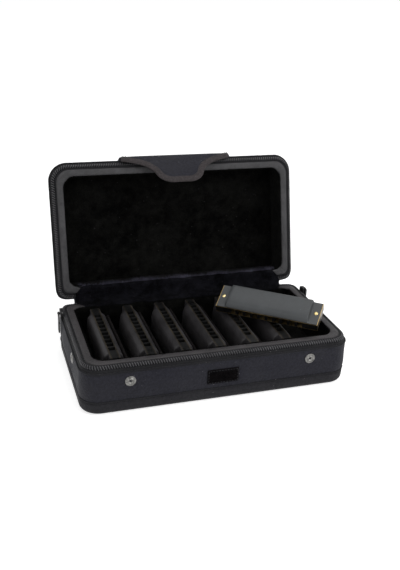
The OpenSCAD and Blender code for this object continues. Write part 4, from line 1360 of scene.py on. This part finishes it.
def bind_line():
    """Edge points moved in by half the webbing's width along the edge's normal: the right wing,
    the round corner and the tip, then the same mirrored, spaced evenly."""
    q = np.linspace(WING_AT, TIP_FROM, 80)
    slope = wing_slope(q)
    steep = np.sqrt(1 + slope ** 2)[:, None]
    side = np.stack([wing(q), q], -1) + BIND_W / 2 * np.stack([-np.ones(80), slope], -1) / steep
    a = np.linspace(TIP_TURN, math.pi / 2, 24)
    corner = (TIP_R - BIND_W / 2) * np.stack([np.cos(a), np.sin(a)], -1) + [TIP_X, FLAP_L - TIP_R]
    right = np.concatenate([[[FLAP_ROOT, side[0, 1] - 0.1]], side, corner[1:]])
    return evenly(np.concatenate([right, right[::-1] * [-1, 1]]), 0.8)[1]


line = bind_line()
ahead = unit(np.gradient(line, axis=0))
inward = np.stack([-ahead[:, 1], ahead[:, 0]], -1)
if (inward[len(line) // 2] @ [0, -1]) < 0:
    inward = -inward


def webbing(part):
    """The section goes across by the inward arrow and off the cloth by h."""
    section = soften([(-3, -WEB_T), (4, -WEB_T), (4, WEB_T), (-3, WEB_T)], 2)
    spot = line[part][:, None] + inward[part][:, None] * section[None, :, :1]
    rib = 1 + 0.05 * np.sin(np.arange(len(spot)) * 2.1)[:, None]
    return flap_point(spot[..., 0], spot[..., 1], section[None, :, 1] * rib)


def bind_stitches(shape, part):
    """A row of stitches on the outer face, along the webbing's inner edge."""
    spots = (line + inward * STITCH_AT)[part][::3]
    A, B = spots[:-1], spots[:-1] + (spots[1:] - spots[:-1]) * STITCH_SHARE
    a, b = (flap_point(v[:, 0], v[:, 1], STITCH_H) for v in (A, B))
    normal = flap_point(A[:, 0], A[:, 1], STITCH_H + 1) - a
    return beads(shape, a, b, normal, 0.22, sides=5)


print("webbing", round(0.8 * len(line)), "mm long")


# %% [markdown]
# The flap is cut across twice: the webbing at one line and the cloth at another, so that neither
# cut shows under the other. The sleeve bends at the fold, and the tongue droops on past it.

# %% Sleeve and tongue
CLOTH_IN, CLOTH_T, ROUND_FROM, TIP_IN = 1.5, 1.5, 22, 1.2
beyond = np.nonzero(line[:, 1] > CUT_BIND)[0]
first, last = beyond[0], beyond[-1]
root_q = np.r_[np.linspace(-16, -2, 12), np.linspace(-1.6, 1.6, 11), np.linspace(2, CUT_PANEL, 8)]
tip_round = (FLAP_L - TIP_IN - ROUND_FROM) * np.sin(np.linspace(0, np.pi / 2, 14))[1:]
tip_q = np.r_[np.linspace(CUT_PANEL, ROUND_FROM, 22), ROUND_FROM + tip_round]
FLAP_PARTS = (("sleeve", "flap_upper", root_q, [slice(0, first + 1), slice(last, None)],
               "lid", "flap", (-1.6, 1.6)),
              ("tongue", "flap_tongue", tip_q, [slice(first, last + 1)],
               "flap", "flap_tongue", (10.6, 13.4)))
for name, stem, q, parts, body_a, body_b, bend in FLAP_PARTS:
    cloth = Shape().grid(flap_cloth(q, CLOTH_IN, CLOTH_T, 121), around=True, caps=True)
    web, sewn = Shape(), Shape()
    for part in parts:
        web.grid(webbing(part), around=True, caps=True)
        bind_stitches(sewn, part)
    pieces = [dress("flap_" + name, cloth, None, NYLON, [stem + "_panel"]),
              dress("flap_" + name + "_webbing", web, None, WEB, [stem + "_binding"]),
              dress("flap_" + name + "_stitches", sewn, None, THREADS)]
    start, end = (flap_point(0.0, at, 0.0) for at in bend)
    for piece in pieces:
        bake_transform(piece)
print("sleeve and tongue", made[-6:])


# %% [markdown]
# The flap's root is a sewn pad on the lid's front. Under the tongue sits the patch of hooks that
# grips the loops on the base. The photograph doesn't show it, but the loop patch calls for it.

# %% Root pad and hook patch
HOOK_HALF, HOOK_FROM, HOOK_TO = 13.3, 17.9, 28.6  # half width, and distances from the fold


def on_lid_front(P):
    """Lays a piece drawn flat onto the lid's leaning front wall, and opens it with the lid."""
    y = -CASE_D / 2 - P[..., 2] + lean_at(BASE_H + RIM_GAP - P[..., 1])
    return opened(np.stack([P[..., 0], y, P[..., 1]], -1))


root = on_lid_front(block((-FLAP_ROOT, 56.55, 0), (FLAP_ROOT, 69.5, 4.2), 1.6, 1.2))
shape = Shape().grid(root, around=True, caps=True)
dress("flap_root", shape, "lid", NYLON, ["flap_root_pad"])
starts, ends = (on_lid_front(lift(v, 4.3)) for v in border(-55.2, 55.2, 58.3, 67.8, 3.0, 0.9))
shape = beads(Shape(), starts, ends, lid_arrow([0, -1.0, 0], len(starts)), 0.22, 5)
dress("flap_root_stitches", shape, "lid", THREADS)

X, Q = np.meshgrid(np.linspace(-HOOK_HALF, HOOK_HALF, 22), np.linspace(HOOK_FROM, HOOK_TO, 12),
                   indexing="ij")
from_edge = np.minimum.reduce([X + HOOK_HALF, HOOK_HALF - X, Q - HOOK_FROM, HOOK_TO - Q])
face = flap_point(X, Q, -0.75 - 0.55 * step(from_edge / 0.8 + 0.2))
back = flap_point(X, Q, -0.5)
shape = Shape().grid(np.concatenate([face, back[:, ::-1]], 1), around=True, caps=True)
pile(shape, face, 2600, 131, 0.45, flip=looks_away(face, face[0, 0] - back[0, 0]))
dress("hook_patch", shape, "flap_tongue", HOOK, ["flap_hook_patch"])
print("root and hooks", made[-3:])


# %% [markdown]
# ## Zip sliders and pulls
# Each slider is two small plates with lips round the coil, joined by a neck, and a lug that holds
# the pull's pin. The pull is a tab with a slot. Blocks with soft edges, tapered along their
# length, give the cast look, and the pull hangs on its pin in the lug.

# %% Sliders and pulls
SLIDER_AT = np.array([129.0, 44.5, 48.3])
PIN_OUT = 2.9  # the pin's middle, out of the slider
BLOCKS = (((0.55, -5, -3.9), (1.6, 5, 3.9), 2.2, 0.4),  # outer plate
          ((-1.74, -5, -3.9), (-0.95, 5, 3.9), 2.2, 0.3),  # inner plate
          ((-1.0, -4, 2.9), (0.7, 4, 3.85), 0.4, 0.3),  # upper lip
          ((-1.0, -4, -3.85), (0.7, 4, -2.9), 0.4, 0.3),  # lower lip
          ((-1.1, 2.2, -1.3), (0.7, 4.4, 1.3), 0.6, 0.2),  # neck
          ((1.4, -1.2, -0.75), (2.2, 1.2, 0.75), 0.5, 0.2))  # foot of the lug
PIN = [(0, -2.95), (0.55, -2.95), (0.7, -2.7), (0.7, 2.7), (0.55, 2.95), (0, 2.95)]
TAB_X = (2.3, 3.5)  # the pull's two faces


def at_side(P, side):
    """Drawn with x out of the right wall; the left one is turned half round the upright axis."""
    return P * [side, side, 1] + SLIDER_AT * [side, 1, 1]


def lying(lo, hi, corner, edge):
    """A block given by (x, y, z) corners and built with its rounded face in the y, z plane."""
    P = block((lo[1], lo[2], lo[0]), (hi[1], hi[2], hi[0]), corner, edge)
    return np.stack([P[..., 2], P[..., 0], P[..., 1]], -1)


def tapered(P, share=0.25):
    """Heights shrink smoothly along y, as a slider narrows to its closing end."""
    full = np.ones(P.shape[:2])
    return P * np.stack([full, full, 1 - share * step((P[..., 1] + 5) / 10)], -1)


def eye(radius, wall, half, sides=28):
    """A closed ring about the pin: a square section carried round the y axis."""
    a = np.linspace(0, 2 * np.pi, sides, endpoint=False)
    far = radius + wall
    section = soften([(radius, -half), (far, -half), (far, half), (radius, half)], 1)
    r, y = section[:, 0], np.broadcast_to(section[:, 1], (sides, len(section)))
    return np.stack([PIN_OUT + np.outer(np.cos(a), r), y, np.outer(np.sin(a), r)], -1)


def slotted(outer, hole, x0, x1):
    """A plate between two rounded outlines of equally many points, closed round its thickness."""
    edge = outer * 0.97 + outer.mean(0) * 0.03
    rows = [(outer, x0 + 0.15), (edge, x0), (hole, x0), (hole, x1), (edge, x1), (outer, x1 - 0.15)]
    return np.stack([np.column_stack([np.full(len(o), v), o]) for o, v in rows], 1)


for side, name in ((-1, "left"), (1, "right")):
    shape = Shape()
    for box in BLOCKS:
        shape.grid(at_side(tapered(lying(*box)), side), around=True, caps=True)
    shape.grid(at_side(eye(0.76, 0.52, 1.2), side), around=True, along=True)
    dress(name + "_slider_body", shape, name + "_slider", SLIDER,
          [name + "_zip_slider"])
    pin_at = at_side(np.array([PIN_OUT, 0, 0]), side)
    shape = turned(Shape(), PIN, [(pin_at, (1, 0, 0), (0, 0, -1), (0, 1, 0))], 20)
    for y in (-1, 1):
        lo, hi = sorted((y * 1.55, y * 2.95))
        cheek = lying((TAB_X[0], lo, -5.2), (TAB_X[1], hi, 0.75), 0.65, 0.25)
        shape.grid(at_side(cheek, side), around=True, caps=True)
    outer = block((-2.95, -21, 0), (2.95, -3.8, 1), 2.4, 0.1)[4, :, :2]
    hole = block((-1.25, -18.6, 0), (1.25, -8.5, 1), 1.2, 0.1)[4, :, :2]
    shape.grid(at_side(slotted(outer, hole, *TAB_X), side), around=True, along=True)
    dress(name + "_pull_tab", shape, name + "_pull", SLIDER, [name + "_zip_pull"])
print("sliders", made[-4:])


# %% [markdown]
# ## Harmonica covers
# A harmonica's cover is drawn from one sheet: a raised middle with a sloping mouth side, and flat
# tabs at both ends that the rivets hold. The CAD model's prism has square ends, so here the
# profile's height is faded out over the last two millimetres, as a press would draw it.

# %% Covers and rivets
PROFILE = soften([(-13.2, 4.25), (-13.2, 5.3), (-8.2, 10.0), (11.2, 10.0), (13.2, 8.4),
                  (13.2, 7.6)], 3, closed=False)
TAB_Z, RIVET_X = 4.85, 46.5
DOME = [(0, 5.62), (0.8, 5.58), (1.5, 5.4), (1.9, 5.12), (2.0, 4.86), (0, 4.8)]
LOOSE_AT, LOOSE_YAW, LOOSE_ROLL = np.array([66.418, -10.602, 59.669]), -38, 27  # degrees
STORED_X, STORED_Z = -128.2, 33.1
ON_ITS_BACK = np.array([[0, 0, -1.0], [1, 0, 0], [0, -1, 0]])


def organ_frame(k):
    """Turn and place of a harmonica: stored ones stand on their backs, the loose one lies askew."""
    if k == "loose":
        yaw, roll = math.radians(LOOSE_YAW), math.radians(LOOSE_ROLL)
        c, s = math.cos(yaw), math.sin(yaw)
        turn_z = np.array([[c, -s, 0], [s, c, 0], [0, 0, 1]])
        c, s = math.cos(roll), math.sin(roll)
        tilt = np.array([[1, 0, 0], [0, c, -s], [0, s, c]])
        return turn_z @ tilt, LOOSE_AT
    return ON_ITS_BACK, np.array([SLOT_PITCH * k + STORED_X, 0, STORED_Z])


def cover_sheet():
    """Height over the tab, times a smooth step of the distance from the raised part's end."""
    x = np.r_[-50.3, -49.9, -44, np.linspace(-42.3, -40.2, 8), np.linspace(-37, 37, 14),
              np.linspace(40.2, 42.3, 8), 44, 49.9, 50.3]
    raised = step((42.2 - np.abs(x)) / 1.9)[:, None]
    y, z = PROFILE.T
    over = np.maximum(z - TAB_Z, 0)
    dished = 0.12 * raised * np.cos(np.clip(x[:, None] / 42, -1, 1) * np.pi / 2) * (z > 9.5)
    height = np.where(z < TAB_Z, z, TAB_Z) + over * raised - dished
    x, y = (np.broadcast_to(v, height.shape) for v in (x[:, None], y))
    return np.stack([x, y, height], -1)


for k in (1, 2, 3, 4, 5, 6, "loose"):
    turn_to, spot = organ_frame(k)
    name, body = ("loose", "loose_harmonica") if k == "loose" else (f"harmonica_{k}",) * 2
    # Stored harmonicas take the darker enamel, painted shade of the slots.
    enamel, rivets = (ENAMEL, ["loose_rivets"]) if k == "loose" else (ENAMEL_PAINTED_SHADE, [])
    sheets, heads = Shape(), Shape()
    for flip in (1, -1):
        sheets.grid(cover_sheet() * [1, 1, flip] @ turn_to.T + spot)
        axes = turn_to @ np.diag([1, flip, flip])
        places = [(spot + turn_to @ [sx * RIVET_X, 0, 0], *axes.T) for sx in (-1, 1)]
        turned(heads, DOME, places, 20)
    dress(name + "_cover_sheets", sheets, body, enamel, [name + "_covers"],
          wall=0.6, angle=50)
    dress(name + "_rivet_heads", heads, body, RIVET, rivets, angle=50)
print("harmonicas", made[-14:])


# %% [markdown]
# ## Finishes for the CAD pieces that stay
# Combs, reed plates, boards and foam already have the right shape, so they are only given a
# finish. Their coordinates are the object's own, which suits cut foam and milled plates.

# %% Materials on the CAD pieces
# Stored reed plates take the darker brass, painted shade of the slots; the loose one keeps bright
# brass.
FINISH = {"_comb": COMB, "_reed_plates": BRASS_PAINTED_SHADE, "loose_reed_plates": BRASS, "_board": BOARD,
          "_wall_core": FOAM}
for name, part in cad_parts.items():
    for ending, mat in FINISH.items():
        if name.endswith(ending):
            part.data.materials.clear()
            part.data.materials.append(mat)
left = [n for n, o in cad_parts.items() if not o.hide_render]
print("CAD pieces shown", len(left), left)


# %% [markdown]
# ## Floor and light
# The case stands on a plain white floor under soft light from the upper front right, a weaker one
# from the left and one from above. The white comes from what the camera sees, not from more
# light on the case: the floor adds a glow for camera rays only, and keeps the shadow.

# %% Floor, world and lamps
def seen_rays(tree):
    """1 for camera, glossy and transmission rays, and 0 for the rays that light the object."""
    path = node(tree, "LightPath").outputs
    first_two = sums(tree, "MAXIMUM", path["Is Camera Ray"], path["Is Glossy Ray"])
    return sums(tree, "MAXIMUM", first_two, path["Is Transmission Ray"])


FLOOR_HALF, FLOOR_Z = 20, -0.0004
signs = ((-1, -1), (1, -1), (1, 1), (-1, 1))
corners = [(x * FLOOR_HALF, y * FLOOR_HALF, FLOOR_Z) for x, y in signs]
floor_mesh = bpy.data.meshes.new("floor")
floor_mesh.from_pydata(corners, [], [(0, 1, 2, 3)])
floor = bpy.data.objects.new("floor", floor_mesh)
bpy.context.scene.collection.objects.link(floor)
mat = bpy.data.materials.new("white floor")
mat.use_nodes = True
tree = mat.node_tree
tree.nodes.clear()
pale = node(tree, "BsdfDiffuse", {"Color": (0.8, 0.8, 0.8, 1)})
glow = node(tree, "Emission", {"Strength": sums(tree, "MULTIPLY", seen_rays(tree), 0.62)})
both = node(tree, "AddShader", {0: pale.outputs[0], 1: glow.outputs[0]})
node(tree, "OutputMaterial", {"Surface": both.outputs[0]})
floor_mesh.materials.append(mat)

world = bpy.data.worlds.new("studio")
bpy.context.scene.world = world
world.use_nodes = True
tree = world.node_tree
strength = node(tree, "MapRange", {"Value": seen_rays(tree), "To Min": 0.48, "To Max": 1.0})
tree.links.new(strength.outputs[0], tree.nodes["Background"].inputs["Strength"])
tree.nodes["Background"].inputs["Color"].default_value = (1, 1, 1, 1)


def softbox(name, spot, aim, size, power):
    """A square lamp at a spot, turned so that it looks at the aim."""
    lamp = bpy.data.objects.new(name, bpy.data.lights.new(name, "AREA"))
    lamp.data.size, lamp.data.energy = size, power
    bpy.context.scene.collection.objects.link(lamp)
    way = Vector(aim) - Vector(spot)
    lamp.matrix_world = Matrix.Translation(spot) @ way.to_track_quat("-Z", "Y").to_matrix().to_4x4()


softbox("key", (0.85, -0.75, 0.75), (0.05, 0, 0.06), 0.7, 8.0)
softbox("fill", (-0.9, -0.8, 0.7), (0, 0, 0.05), 0.9, 4.0)
softbox("top", (0.1, 0.1, 1.3), (0, 0, 0.05), 0.8, 4.0)
bpy.context.scene.view_settings.view_transform = "Standard"


# %% [markdown]
# ## The end
# The number of polygons drawn here is printed.

# %% The end
print("polygons", sum(n for _, n in made))
